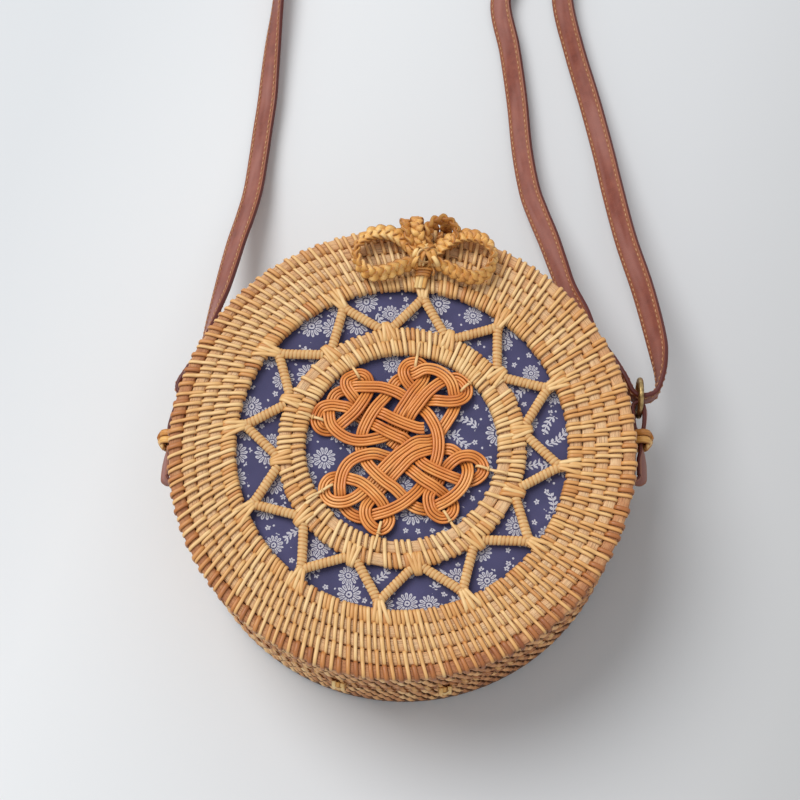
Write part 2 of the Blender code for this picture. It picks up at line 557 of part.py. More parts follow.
def make_tabs():
    """Leather tabs: a long eye for the ring, a pressed middle in the side loop and a tail eye."""
    hole_half = RING_WIRE_RADIUS + RING_CLEARANCE
    eye_half = hole_half + TAB_WALL
    ring_inside = RING_RADIUS - RING_WIRE_RADIUS - RING_CLEARANCE
    eye_low = RING_REACH - RING_RADIUS - hole_half
    eye_high = RING_REACH - math.sqrt(ring_inside**2 - (TAB_WIDTH / 2) ** 2)
    waist_half = TAB_THICKNESS / 2
    tail_centre = eye_half - TAB_TAIL_REACH
    right_side = arc((0, eye_high - hole_half), eye_half, math.pi / 2, 0, EYE_STEPS)
    right_side += [(eye_half, eye_low + hole_half), (waist_half, TAB_WAIST_UP)]
    right_side += [(waist_half, -TAB_WAIST_UP)] + arc((0, tail_centre), eye_half, 0, -math.pi / 2, EYE_STEPS)
    outline = right_side + [(-x, y) for x, y in right_side[-2:0:-1]]
    eye = arc((0, eye_high - hole_half), hole_half, 0, math.pi, EYE_STEPS)
    eye += arc((0, eye_low + hole_half), hole_half, math.pi, 2 * math.pi, EYE_STEPS)
    tail_eye = arc((0, tail_centre), hole_half, 0, 2 * math.pi, 2 * EYE_STEPS)[:-1]
    for name, side, loop_y, lean in SIDES:
        outlines = [leant(points, lean) for points in (outline, eye, tail_eye)]
        tab = plate(f"tab_{name}", outlines, TAB_WIDTH, STRAP_LEATHER)
        tab.location = (side * SIDE_X, loop_y, RING_Z)


def make_rings():
    section = [
        (RING_RADIUS + x, y)
        for x, y in arc((0, 0), RING_WIRE_RADIUS, math.pi / 2, -3 * math.pi / 2, RING_SECTION_STEPS)[:-1]
    ]
    for name, side, loop_y, lean in SIDES:
        ring = turned(f"ring_{name}", section, OLD_BRASS, steps=ROUND_STEPS // 2)
        ring.rotation_euler = (0, math.pi / 2, lean)
        reach_x, reach_y = leant([(0, RING_REACH)], lean)[0]
        ring.location = (side * SIDE_X + reach_x, loop_y + reach_y, RING_Z)


def make_bow():
    """Stem and head at the middle, two loops of braid on edge and a short tail."""
    head = [
        (0, BOW_HEAD_BASE + BOW_BRAID_WIDTH), (BOW_KNOT_RADIUS / 2, BOW_HEAD_BASE + BOW_BRAID_WIDTH),
        (BOW_KNOT_RADIUS, BOW_HEAD_BASE + BOW_BRAID_WIDTH / 2), (BOW_STEM_RADIUS, BOW_HEAD_BASE),
        (BOW_STEM_RADIUS, BOW_FLOOR), (0, BOW_FLOOR),
    ]
    knot = turned("bow_knot", head, STRAW_BRAID, closed=False, steps=BOW_STEPS)
    knot.location = (BOW_X, BOW_Y, 0)
    hang_on(knot, LID_PIVOT)
    level = BOW_HEAD_BASE + BOW_BRAID_WIDTH / 2
    for name, side in (("bow_loop_left", -1), ("bow_loop_right", 1)):
        reach = BOW_LOOP_REACH
        outline = [(side * along * reach, across * reach, 0) for along, across in BOW_LOOP_SHARES]
        loop = strip(name, smooth_route(outline, 2), BOW_BRAID_WIDTH, BOW_BRAID_THICKNESS, STRAW_BRAID)
        loop.location = (BOW_X, BOW_Y, level)
        loop.rotation_euler.z = BOW_LOOP_TILT * side
        hang_on(loop, LID_PIVOT)
    tail_start = BOW_Y - CLASP_TURN_RADIUS - CLASP_CORD_RADIUS - FIT_GAP
    route = [(BOW_X, tail_start, 0, math.pi / 2), (BOW_X, tail_start - BOW_TAIL_LENGTH, 0, math.pi / 2)]
    tail = strip("bow_tail", route, BOW_BRAID_WIDTH, BOW_BRAID_THICKNESS, STRAW_BRAID)
    tail.location.z = BOW_FLOOR + BOW_BRAID_THICKNESS / 2
    hang_on(tail, LID_PIVOT)


def clasp_route():
    """The cord from the left leg's foot, over the rim, round the stem and back down on the right."""
    level = BOW_FLOOR + CLASP_CORD_RADIUS
    foot = CLASP_PIVOT_Z + FIT_GAP + CLASP_CORD_RADIUS
    top = DEPTH + CLASP_ARCH_HEIGHT
    inside = OUTER_RADIUS - ROD_PITCH
    outside = CLASP_PIVOT_Y
    leg = [
        (CLASP_LEG_X, outside, foot), (CLASP_LEG_X, outside, (foot + top) / 2),
        (CLASP_LEG_X, (outside + OUTER_RADIUS) / 2, top - CLASP_CORD_RADIUS),
        (CLASP_LEG_X, (inside + OUTER_RADIUS) / 2, top), (CLASP_LEG_X, inside, (level + top) / 2),
        (CLASP_LEG_X, inside - ROD_PITCH / 2, level),
    ]
    turn = arc((0, BOW_Y), CLASP_TURN_RADIUS, 0, -math.pi, 2 * STAR_BEND_STEPS)
    left = [(-x, y, z) for x, y, z in leg]
    right = leg[::-1]
    middle = [(x, y, level) for x, y in turn[::-1]]
    return left + middle + right


def make_clasp():
    cord = tube("clasp_loop", smooth_route(clasp_route(), 2), CLASP_CORD_RADIUS, STRAW_BRAID, sides_setting=1)
    cord.location.x = BOW_X
    hang_on(cord, CLASP_PIVOT)
    half = TETHER_WIDTH / 2
    top = CLASP_PIVOT_Z
    outline = [(-half, TETHER_FOOT_Z), (half, TETHER_FOOT_Z), (half, top), (-half, top)]
    tether = plate("clasp_tether", [outline], TETHER_THICKNESS, STRAW_BRAID)
    tether.rotation_euler.x = math.pi / 2
    tether.location = (BOW_X, OUTER_RADIUS + FIT_GAP + TETHER_THICKNESS / 2, 0)


def strap_points():
    """The strap's route smoothed, with points left out where it runs nearly straight."""
    route = [(side * SIDE_X + x, y, z, roll) for side, x, y, z, roll in STRAP_ROUTE]
    fine = smooth_route(route, ROUTE_DIVISIONS)
    kept = [fine[0]]
    for before, here, after in zip(fine, fine[1:], fine[2:]):
        last = Vector(kept[-1][:ROLL_PLACE])
        arrived = Vector(here[:ROLL_PLACE]) - last
        ahead = Vector(after[:ROLL_PLACE]) - Vector(here[:ROLL_PLACE])
        if arrived.length > STRAP_WIDTH * 2 or arrived.angle(ahead) > STRAP_TURN_LIMIT:
            kept.append(here)
    kept.append(fine[-1])
    return [(x, y, z, math.radians(roll)) for x, y, z, roll in kept]


def make_strap():
    strip("strap", strap_points(), STRAP_WIDTH, STRAP_THICKNESS, STRAP_LEATHER)
    hole_half = STRAP_WIDTH / 2 + KEEPER_SIDE_GAP
    hole_up = STRAP_THICKNESS + FIT_GAP * 2
    hole = [(-hole_half, -hole_up), (hole_half, -hole_up), (hole_half, hole_up), (-hole_half, hole_up)]
    outer_half, outer_up = hole_half + KEEPER_WALL, hole_up + KEEPER_WALL
    outer = [
        (-outer_half, -outer_up), (outer_half, -outer_up), (outer_half, outer_up), (-outer_half, outer_up),
    ]
    keeper = plate("strap_keeper", [outer, hole], KEEPER_LENGTH, STRAP_LEATHER)
    keeper.rotation_euler = (math.pi / 2, 0, math.pi / 2)
    keeper.location = (KEEPER_X, KEEPER_Y, outer_up + FIT_GAP)


clear_scene()
PARTS = make_collection("rattan_crossbody_bag")
LID_PIVOT = bpy.data.objects.new("lid_pivot", None)
LID_PIVOT.location = (0, HINGE_Y, SEAM_HEIGHT)
CLASP_PIVOT = bpy.data.objects.new("clasp_pivot", None)
CLASP_PIVOT.location = (0, CLASP_PIVOT_Y, CLASP_PIVOT_Z)
for pivot in (LID_PIVOT, CLASP_PIVOT):
    PARTS.objects.link(pivot)

make_border_rods()
make_frame_rods()
make_star()
make_knot()
make_knot_ties()
make_lid_shell()
make_body_shell()
make_hinge_ties()
make_side_loops()
make_tabs()
make_rings()
make_bow()
make_clasp()
make_strap()
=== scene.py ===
"""Looks of a round rattan crossbody bag: woven surfaces, knot, braids, leather strap, cloth, light and camera."""
import math
import random

import bpy
import numpy as np
from mathutils import Matrix, Vector


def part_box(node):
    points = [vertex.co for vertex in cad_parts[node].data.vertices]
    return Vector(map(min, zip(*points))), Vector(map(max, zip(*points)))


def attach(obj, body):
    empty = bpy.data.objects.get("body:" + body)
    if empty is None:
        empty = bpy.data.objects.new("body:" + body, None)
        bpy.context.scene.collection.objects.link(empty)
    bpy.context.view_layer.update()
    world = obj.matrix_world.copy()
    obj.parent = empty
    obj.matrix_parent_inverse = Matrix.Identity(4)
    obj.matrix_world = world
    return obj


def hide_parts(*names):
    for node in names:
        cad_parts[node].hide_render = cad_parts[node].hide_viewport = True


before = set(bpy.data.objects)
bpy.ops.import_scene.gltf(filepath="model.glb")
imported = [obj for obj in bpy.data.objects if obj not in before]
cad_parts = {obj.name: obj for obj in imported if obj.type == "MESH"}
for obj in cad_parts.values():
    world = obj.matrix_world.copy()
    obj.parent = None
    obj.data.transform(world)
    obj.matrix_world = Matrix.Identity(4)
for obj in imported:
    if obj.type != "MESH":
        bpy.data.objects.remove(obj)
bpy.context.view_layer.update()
DRAWS = random.Random(7)
TINY = 1e-9
MM = 0.001
UP = np.array((0.0, 0.0, 1.0))
FULL_TURN = 2 * math.pi

# Camera, fitted to the rim and wall circles of the photo
CAMERA_PLACE = (0.02516, -0.20357, 0.79391)
CAMERA_RIGHT = (0.99849, 0.05051, -0.02163)
CAMERA_UP = (-0.04172, 0.95311, 0.29972)
CAMERA_FOCUS_PIXELS = 1738.9
PHOTO_PIXELS = 800
SENSOR_WIDTH = 36.0
CAMERA_CLIP = 0.01

# Strap
STRAP_WIDTH = 0.012
STRAP_THICKNESS = 0.0022
STRAP_STEP = 0.0018
# The ply's edge: metres in from the strap's side, and height in half thicknesses
STITCH_INSET = 0.0017
STRAP_EDGE = ((0, -0.3), (0, 0.3), (0.00015, 0.75), (0.0005, 0.95), (STITCH_INSET, 0.86), (STITCH_INSET + 0.0007, 1.0))
# The strap's way: the side a point is counted from (0 is the middle), x, y and z in metres, roll in degrees
STRAP_ROUTE = (
    (-1, 0.0149, 0.0554, 0.0385, 0), (-1, 0.0127, 0.0456, 0.0395, 0), (-1, 0.0105, 0.0378, 0.0400, 0),
    (-1, 0.0085, 0.0327, 0.0400, 0), (-1, 0.0060, 0.0302, 0.0400, 0), (-1, 0.0031, 0.0298, 0.0400, 0),
    (-1, 0.0012, 0.0313, 0.0400, 0), (-1, 0.0014, 0.0352, 0.0400, 0), (-1, 0.0048, 0.0417, 0.0398, 0),
    (-1, 0.0086, 0.0490, 0.0392, 2), (-1, 0.0107, 0.0566, 0.0380, 8), (-1, 0.0115, 0.0640, 0.0350, 22),
    (-1, 0.0130, 0.0757, 0.0305, 34), (-1, 0.0146, 0.0875, 0.0260, 45), (-1, 0.0163, 0.1025, 0.0205, 52),
    (-1, 0.0182, 0.1176, 0.0155, 55), (-1, 0.0209, 0.1328, 0.0110, 57), (-1, 0.0230, 0.1478, 0.0076, 57),
    (-1, 0.0240, 0.1652, 0.0052, 57), (-1, 0.0249, 0.1820, 0.0046, 57), (-1, 0.0260, 0.1987, 0.0047, 56),
    (-1, 0.0263, 0.2154, 0.0051, 50), (-1, 0.0267, 0.2322, 0.0055, 42), (-1, 0.0276, 0.2549, 0.0061, 28),
    (-1, 0.0280, 0.2820, 0.0061, 28), (-1, 0.0287, 0.3100, 0.0055, 42), (-1, 0.0322, 0.3420, 0.0042, 62),
    (-1, 0.0387, 0.3700, 0.0027, 80), (0, -0.0545, 0.3920, 0.0025, 88), (0, -0.0380, 0.4020, 0.0029, 90),
    (0, -0.0200, 0.4045, 0.0029, 90), (0, -0.0020, 0.4020, 0.0029, 90), (0, 0.0175, 0.3930, 0.0022, 90),
    (0, 0.0370, 0.3770, 0.0021, 95), (0, 0.0540, 0.3540, 0.0036, 113), (1, -0.0420, 0.3240, 0.0045, 125),
    (1, -0.0380, 0.2920, 0.0047, 128), (1, -0.0374, 0.2612, 0.0047, 128), (1, -0.0309, 0.2327, 0.0050, 134),
    (1, -0.0229, 0.2043, 0.0062, 131), (1, -0.0159, 0.1755, 0.0095, 131), (1, -0.0112, 0.1521, 0.0140, 130),
    (1, -0.0050, 0.1233, 0.0205, 133), (1, 0.0026, 0.0953, 0.0275, 133), (1, 0.0082, 0.0680, 0.0350, 141),
    (1, 0.0097, 0.0545, 0.0388, 160), (1, 0.0092, 0.0450, 0.0400, 178),
    (1, 0.0070, 0.0398, 0.0400, 180), (1, 0.0028, 0.0378, 0.0400, 180), (1, -0.0008, 0.0378, 0.0400, 180),
    (1, -0.0038, 0.0402, 0.0400, 180), (1, -0.0068, 0.0462, 0.0400, 181), (1, -0.0122, 0.0550, 0.0380, 186),
    (1, -0.0205, 0.0668, 0.0350, 194), (1, -0.0260, 0.0803, 0.0310, 205), (1, -0.0327, 0.0942, 0.0265, 213),
    (1, -0.0372, 0.1087, 0.0215, 220), (1, -0.0416, 0.1232, 0.0170, 226), (1, -0.0468, 0.1378, 0.0130, 228),
    (1, -0.0514, 0.1523, 0.0098, 229), (1, -0.0556, 0.1753, 0.0066, 229), (1, -0.0589, 0.2034, 0.0051, 231),
    (1, -0.0634, 0.2316, 0.0047, 232), (1, -0.0690, 0.2601, 0.0047, 233), (0, 0.0435, 0.2860, 0.0047, 235),
    (0, 0.0390, 0.3120, 0.0045, 241), (0, 0.0330, 0.3400, 0.0043, 254), (0, 0.0240, 0.3660, 0.0050, 267),
    (0, 0.0110, 0.3880, 0.0056, 270), (0, -0.0050, 0.4010, 0.0054, 270), (0, -0.0200, 0.4045, 0.0054, 270),
    (0, -0.0350, 0.4025, 0.0054, 270),
)
STITCH_PITCH = 0.0030
STITCH_LENGTH = 0.0021
STITCH_DEPTH = 0.44
THREAD_WIDTH = 0.00075
THREAD_FLATNESS = 0.8
KEEPER_WALL = 0.0012
KEEPER_CORNER = 0.0008

# Border and centre ring
ROD_PITCH = 0.0057
ROD_GAP = 0.0003
BORDER_ROWS = 5
BORDER_STRIPS = 88
RING_STRIPS = 52
RING_NAMES = ("outer", "inner")
RING_TONES = (0.74, 0.84)
RING_SLANT = math.radians(9)
RING_DENSE_TURN = math.radians(10)
BORDER_TONES = (0.30, 0.76, 0.84, 0.88, 0.80)
LONG_TONE = 0.77
ROW_SHIFT = 0.29
STRIP_WIDTH = 0.0020
STRIP_THICKNESS = 0.0013
STRAW_CORNERS = 8
STRAW_SQUARENESS = 0.8
ROD_SINK = 0.0012
ROD_TURNS = 300
ROD_CORNERS = 40
ROD_SQUARENESS = 0.78
ROD_CANES = 5
ROD_GROOVE = 0.00016
ROD_FLANK = 0.95

# Knot
KNOT_REACH = 0.040
BAND_LIFT = 0.0013
CANE_SPACING = 0.00132
CANE_RADIUS = 0.00068
KNOT_CANES = 4
CANE_SWAY = 0.00008
CANE_RISE = 0.00012
# A tie's way in millimetres: out from the bend for its first points, then from the ring, and up from the middle
TIE_WAY = (
    (-2.9, -2.1), (-3.1, -0.6), (-2.5, 1.5), (-0.5, 2.2), (1.8, 1.5), (-0.9, 1.3), (1.2, 2.5), (3.4, 2.8), (5.0, 1.9),
)
TIE_POINTS_AT_BEND = 5
TIE_COLLAR_ROOM = 0.0035
# Where the knot's bends are tied, and the ways of its two bands with 1 for over and 0 for under
TIED_BEND_SHARES = (
    (-0.540, 0.795), (0.105, 0.958), (0.661, 0.690), (-0.915, 0.255),
    (-0.765, -0.510), (-0.180, -0.920), (0.520, -0.760), (0.880, -0.208),
)
OPEN_BAND_SHARES = (
    (0.235, 0.20, 1), (0.165, 0.20, 1), (0.03, 0.24, 1), (-0.105, 0.293, 1), (-0.225, 0.347, 1),
    (-0.32, 0.387, 0), (-0.47, 0.453, 0), (-0.55, 0.52, 1), (-0.625, 0.62, 1), (-0.635, 0.70, 1),
    (-0.585, 0.755, 0.5), (-0.495, 0.79, 0.5), (-0.42, 0.76, 0.5), (-0.39, 0.685, 0), (-0.395, 0.585, 0.4),
    (-0.442, 0.47, 1), (-0.522, 0.347, 1), (-0.645, 0.22, 1), (-0.73, 0.163, 0), (-0.82, 0.145, 0),
    (-0.89, 0.165, 0.5), (-0.93, 0.235, 0.5), (-0.925, 0.315, 0.5), (-0.875, 0.385, 1), (-0.78, 0.415, 1),
    (-0.672, 0.407, 1), (-0.59, 0.39, 1), (-0.512, 0.34, 0), (-0.375, 0.26, 0), (-0.28, 0.205, 1),
    (-0.172, 0.152, 1), (-0.05, 0.098, 1), (0.025, 0.065, 1), (0.112, 0, 0), (0.175, -0.10, 0),
    (0.23, -0.185, 1), (0.342, -0.247, 1), (0.477, -0.302, 1), (0.60, -0.345, 1), (0.70, -0.355, 0),
    (0.80, -0.33, 0), (0.87, -0.275, 0.5), (0.883, -0.207, 0.5), (0.842, -0.125, 0.5), (0.747, -0.085, 1),
    (0.64, -0.098, 1), (0.557, -0.152, 1), (0.49, -0.22, 0.5), (0.44, -0.30, 0), (0.395, -0.40, 0),
    (0.323, -0.53, 1), (0.323, -0.625, 1), (0.363, -0.72, 1), (0.45, -0.768, 0.5), (0.53, -0.755, 0.5),
    (0.578, -0.692, 0.5), (0.57, -0.60, 0), (0.505, -0.53, 0), (0.382, -0.45, 1), (0.247, -0.37, 1),
    (0.145, -0.295, 1), (0.05, -0.212, 0), (-0.062, -0.15, 0), (-0.172, -0.122, 0.4), (-0.292, -0.107, 1),
    (-0.442, -0.145, 1), (-0.55, -0.22, 1), (-0.61, -0.328, 1), (-0.63, -0.45, 1), (-0.625, -0.545, 1),
    (-0.605, -0.637, 0), (-0.525, -0.745, 0), (-0.427, -0.795, 0), (-0.34, -0.797, 0), (-0.25, -0.775, 0.75),
    (-0.105, -0.727, 1), (0.03, -0.652, 1), (0.14, -0.557, 1), (0.215, -0.465, 0.5), (0.27, -0.367, 0),
    (0.325, -0.267, 0), (0.372, -0.175, 1), (0.395, -0.045, 1), (0.39, 0.09, 1), (0.355, 0.212, 1),
    (0.292, 0.32, 1), (0.24, 0.39, 0.5), (0.17, 0.45, 0), (0.075, 0.505, 0), (-0.022, 0.56, 1),
    (-0.117, 0.605, 1), (-0.252, 0.64, 1), (-0.40, 0.640, 1), (-0.535, 0.630, 1), (-0.625, 0.61, 0),
    (-0.705, 0.585, 0), (-0.76, 0.53, 0), (-0.792, 0.412, 0), (-0.795, 0.307, 1), (-0.76, 0.185, 1),
    (-0.657, 0.09, 1), (-0.537, 0.037, 1), (-0.415, 0.03, 1), (-0.28, 0.057, 1), (-0.182, 0.10, 0.4),
    (-0.135, 0.16, 0), (-0.085, 0.262, 0), (-0.04, 0.36, 1), (0.035, 0.495, 1), (0.105, 0.612, 1),
    (0.19, 0.745, 0.35), (0.21, 0.847, 0), (0.185, 0.91, 0.25), (0.13, 0.945, 0.5), (0.07, 0.945, 0.5),
    (0.01, 0.915, 0.5), (-0.022, 0.835, 1), (0.005, 0.74, 1), (0.07, 0.665, 0.5), (0.14, 0.605, 0),
    (0.237, 0.535, 0), (0.355, 0.515, 1), (0.477, 0.51, 1), (0.597, 0.53, 1), (0.667, 0.60, 0.5),
    (0.668, 0.685, 0.5), (0.62, 0.755, 0.4), (0.55, 0.79, 0.3), (0.465, 0.775, 0), (0.37, 0.71, 1),
    (0.255, 0.605, 1), (0.175, 0.495, 1), (0.097, 0.375, 1), (0.06, 0.305, 0.5), (0.022, 0.22, 0),
    (-0.035, 0.107, 0), (-0.117, -0.017, 0),
)
CLOSED_BAND_SHARES = (
    (0.097, 0.812, 0.7), (0.207, 0.867, 1), (0.327, 0.86, 1), (0.437, 0.80, 1), (0.505, 0.712, 1),
    (0.537, 0.605, 0.7), (0.555, 0.51, 0), (0.53, 0.40, 0.5), (0.49, 0.32, 0.5), (0.44, 0.23, 0.5),
    (0.38, 0.14, 0), (0.307, 0.077, 0.4), (0.165, 0.047, 1), (0.05, -0.035, 1), (-0.06, -0.13, 1),
    (-0.192, -0.28, 1), (-0.275, -0.372, 0), (-0.345, -0.465, 0), (-0.405, -0.55, 1), (-0.48, -0.61, 1),
    (-0.577, -0.652, 1), (-0.685, -0.652, 0.8), (-0.765, -0.605, 0.5), (-0.80, -0.53, 0.5),
    (-0.787, -0.45, 0.5), (-0.732, -0.39, 0.5), (-0.63, -0.365, 0), (-0.53, -0.397, 1), (-0.415, -0.43, 1),
    (-0.307, -0.505, 1), (-0.212, -0.597, 1), (-0.157, -0.665, 0.55), (-0.125, -0.74, 0), (-0.09, -0.825, 0.5),
    (-0.13, -0.905, 0.5), (-0.212, -0.93, 0.5), (-0.292, -0.882, 0.85), (-0.342, -0.802, 1),
    (-0.347, -0.707, 1), (-0.31, -0.625, 0.5), (-0.25, -0.545, 0), (-0.175, -0.45, 0), (-0.132, -0.407, 0),
    (-0.085, -0.35, 0.5), (0.025, -0.22, 1), (0.085, -0.15, 1), (0.17, -0.087, 1), (0.307, -0.032, 0.7),
    (0.40, -0.015, 0), (0.517, -0.017, 0.5), (0.585, -0.052, 0.5), (0.655, -0.105, 0), (0.707, -0.18, 0.3),
    (0.72, -0.287, 1), (0.68, -0.41, 1), (0.597, -0.517, 1), (0.505, -0.592, 1), (0.422, -0.64, 1),
    (0.332, -0.675, 0), (0.275, -0.682, 0), (0.187, -0.67, 0.5), (0.10, -0.612, 0), (0.03, -0.545, 0.65),
    (-0.05, -0.477, 1), (-0.172, -0.395, 1), (-0.28, -0.302, 1), (-0.36, -0.212, 0.75), (-0.397, -0.125, 0),
    (-0.435, -0.05, 0.5), (-0.43, 0.03, 0), (-0.427, 0.117, 1), (-0.375, 0.265, 1), (-0.292, 0.415, 1),
    (-0.197, 0.545, 0.5), (-0.157, 0.622, 0), (-0.097, 0.72, 0.5), (-0.015, 0.78, 0),
)

# Sweeping strips and rods


def turns(count):
    """Angles an even distance apart, once round."""
    return np.arange(count) * FULL_TURN / count


def unit(vectors):
    return vectors / np.maximum(np.linalg.norm(vectors, axis=-1, keepdims=True), TINY)


def travel(path, closed=False):
    """The direction of travel at each point of a path."""
    if closed:
        return unit(np.roll(path, -1, axis=0) - np.roll(path, 1, axis=0))
    return unit(np.gradient(path, axis=0))


def square(across, ahead):
    """Sideways directions made square to the way ahead."""
    across = np.broadcast_to(np.asarray(across, float), ahead.shape)
    return unit(across - ahead * np.sum(across * ahead, axis=1, keepdims=True))


def lengths_along(path):
    steps = np.linalg.norm(np.diff(path, axis=0), axis=1)
    return np.concatenate(([0.0], np.cumsum(steps)))


def smooth(points, divisions, closed=False):
    """Points on a Catmull-Rom curve through the given ones."""
    points = np.asarray(points, float)
    count = len(points)
    start = np.arange(count if closed else count - 1)
    around = [
        points[(start + k) % count] if closed else points[np.clip(start + k, 0, count - 1)] for k in (-1, 0, 1, 2)
    ]
    a, b, c, d = (p[:, None, :] for p in around)
    t = (np.arange(divisions) / divisions)[None, :, None]
    fine = (-t + 2 * t**2 - t**3) * a + (2 - 5 * t**2 + 3 * t**3) * b
    fine = (fine + (t + 4 * t**2 - 3 * t**3) * c + (-(t**2) + t**3) * d) / 2
    fine = fine.reshape(-1, points.shape[1])
    return fine if closed else np.vstack((fine, points[-1]))


def even(path, spacing):
    """The same path, and any values that go with its points, at points an even distance apart."""
    along = lengths_along(path[:, :3])
    count = max(int(along[-1] / spacing), 2) + 1
    wanted = np.linspace(0, along[-1], count)
    return np.stack([np.interp(wanted, along, path[:, k]) for k in range(path.shape[1])], axis=1)


def oval(width, height, corners=8, squareness=1.0):
    """A rounded section, anticlockwise from its right side; squareness under 1 fills out its corners."""
    turn = turns(corners)
    x, y = np.cos(turn), np.sin(turn)
    return np.stack(
        (np.sign(x) * np.abs(x) ** squareness * width / 2, np.sign(y) * np.abs(y) ** squareness * height / 2), axis=1
    )


def straw(width, thick):
    """A flat strip's section, in millimetres."""
    return oval(width * MM, thick * MM, STRAW_CORNERS, STRAW_SQUARENESS)


def part_way(first, last, share):
    """The point a share of the way from the first to the last."""
    return first * (1 - share) + last * share


def at_level(flat, level):
    return np.column_stack((flat, np.full(len(flat), level)))


def polar(radius, angle, level):
    radius, angle, level = np.broadcast_arrays(radius, angle, level)
    return np.stack((radius * np.cos(angle), radius * np.sin(angle), level), axis=-1)


def outward(angle):
    """The direction away from the bag's axis, at an angle round it."""
    return polar(1.0, angle, 0.0)


def sideways(angle):
    """The direction round the bag's axis."""
    return polar(1.0, angle + math.pi / 2, 0.0)


class Pile:
    """Swept strips gathered into one mesh. Each point keeps its place across and along its strip, and a tone."""

    def __init__(self):
        self.points, self.quads, self.ends, self.grain = [], [], [], []
        self.count = 0

    def sweep(self, path, across, section, tone=0.5, closed=False, swell=1.0):
        """Sweep a section of (across, out) points along a path; the section may differ at every point."""
        path = np.asarray(path, float)
        ahead = travel(path, closed)
        across = square(across, ahead)
        out = np.cross(ahead, across)
        section = np.broadcast_to(section, (len(path), *np.shape(section)[-2:]))
        section = section * np.broadcast_to(np.asarray(swell, float), len(path))[:, None, None]
        rows, corners = section.shape[:2]
        points = path[:, None] + across[:, None] * section[:, :, :1] + out[:, None] * section[:, :, 1:]
        half = np.maximum(np.abs(section[:, :, 0]).max(axis=1, keepdims=True), TINY)
        along = lengths_along(path)[:, None] + np.zeros(corners)
        grain = np.stack((section[:, :, 0] / half, along, np.broadcast_to(tone, (corners, rows)).T), axis=-1)
        here = self.count + np.arange(rows if closed else rows - 1)[:, None] * corners + np.arange(corners)
        nearby = np.roll(here, -1, axis=1)
        ring = rows * corners
        ahead_of = (here - self.count + corners) % ring + self.count
        ahead_nearby = (nearby - self.count + corners) % ring + self.count
        self.quads.append(np.stack((here, nearby, ahead_nearby, ahead_of), axis=-1).reshape(-1, 4))
        if not closed:
            first = list(range(self.count, self.count + corners))
            self.ends += [first[::-1], [i + ring - corners for i in first]]
        self.points.append(points.reshape(-1, 3))
        self.grain.append(grain.reshape(-1, 3))
        self.count += ring

    def piece(self, name, look, body, slot, nodes=()):
        """Make the gathered strips one piece on a body, in place of the CAD nodes named."""
        quads = np.concatenate(self.quads).tolist()
        return add_piece(name, np.concatenate(self.points), quads + self.ends, look, body, nodes, self.grain)


def add_piece(name, points, faces, look, body, nodes, grain):
    mesh = bpy.data.meshes.new(name)
    mesh.from_pydata(np.asarray(points).tolist(), [], faces)
    layer = mesh.attributes.new("grain", "FLOAT_VECTOR", "POINT")
    layer.data.foreach_set("vector", np.concatenate(grain).ravel())
    mesh.shade_smooth()
    mesh.materials.append(look)
    piece = bpy.data.objects.new(name, mesh)
    bpy.context.scene.collection.objects.link(piece)
    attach(piece, body)
    if nodes:
        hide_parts(*nodes)
    return piece


# Materials


class Look:
    """A Principled material whose colour, roughness and bump are built from texture nodes."""

    def __init__(self, name, roughness, metallic=0.0):
        self.material = bpy.data.materials.new(name)
        self.material.use_nodes = True
        self.tree = self.material.node_tree
        self.shader = self.tree.nodes["Principled BSDF"]
        self.shader.inputs["Roughness"].default_value = roughness
        self.shader.inputs["Metallic"].default_value = metallic

    def node(self, kind, inputs, output=0, **settings):
        node = self.tree.nodes.new(kind)
        for key, value in settings.items():
            setattr(node, key, value)
        for key, value in inputs.items():
            if isinstance(value, bpy.types.NodeSocket):
                self.tree.links.new(value, node.inputs[key])
            else:
                node.inputs[key].default_value = value
        return node.outputs[output]

    def math(self, operation, *values):
        return self.node("ShaderNodeMath", dict(enumerate(values)), operation=operation)

    def plus(self, *values):
        return self.math("ADD", *values)

    def minus(self, *values):
        return self.math("SUBTRACT", *values)

    def times(self, *values):
        return self.math("MULTIPLY", *values)

    def line(self, value, slope, base):
        return self.math("MULTIPLY_ADD", value, slope, base)

    def size(self, value):
        return self.math("ABSOLUTE", value)

    def swing(self, noise, amount):
        """Noise about nought."""
        return self.times(self.minus(noise, 0.5), amount)

    def parts(self, vector):
        return tuple(self.node("ShaderNodeSeparateXYZ", {0: vector}).node.outputs)

    def grain(self):
        """The place across, along and the tone of the strip that a point belongs to."""
        return self.parts(self.node("ShaderNodeAttribute", {}, "Vector", attribute_name="grain"))

    def place(self):
        """The point's place on the object."""
        return self.node("ShaderNodeTexCoord", {}, "Object")

    def vector(self, x, y, z):
        return self.node("ShaderNodeCombineXYZ", {0: x, 1: y, 2: z})

    def noise(self, vector, scale, detail=2.0, roughness=0.5):
        inputs = {"Vector": vector, "Scale": scale, "Detail": detail, "Roughness": roughness}
        return self.node("ShaderNodeTexNoise", inputs, "Fac")

    def ramp(self, value, *stops):
        """Colours at places from 0 to 1."""
        node = self.tree.nodes.new("ShaderNodeValToRGB")
        self.tree.links.new(value, node.inputs[0])
        elements = node.color_ramp.elements
        while len(elements) < len(stops):
            elements.new(1.0)
        for element, (spot, colour) in zip(elements, stops):
            element.position = spot
            element.color = (*colour, 1.0)
        return node.outputs[0]

    def mix(self, share, *colours):
        first, second = (c if isinstance(c, bpy.types.NodeSocket) else (*c, 1.0) for c in colours)
        return self.node("ShaderNodeMix", {0: share, 6: first, 7: second}, 2, data_type="RGBA")

    def bump(self, height, distance, strength=1.0):
        normal = self.node("ShaderNodeBump", {"Height": height, "Distance": distance, "Strength": strength}, "Normal")
        self.set("Normal", normal)

    def set(self, socket, value):
        """Let nodes decide one of the shader's values."""
        self.tree.links.new(value, self.shader.inputs[socket])


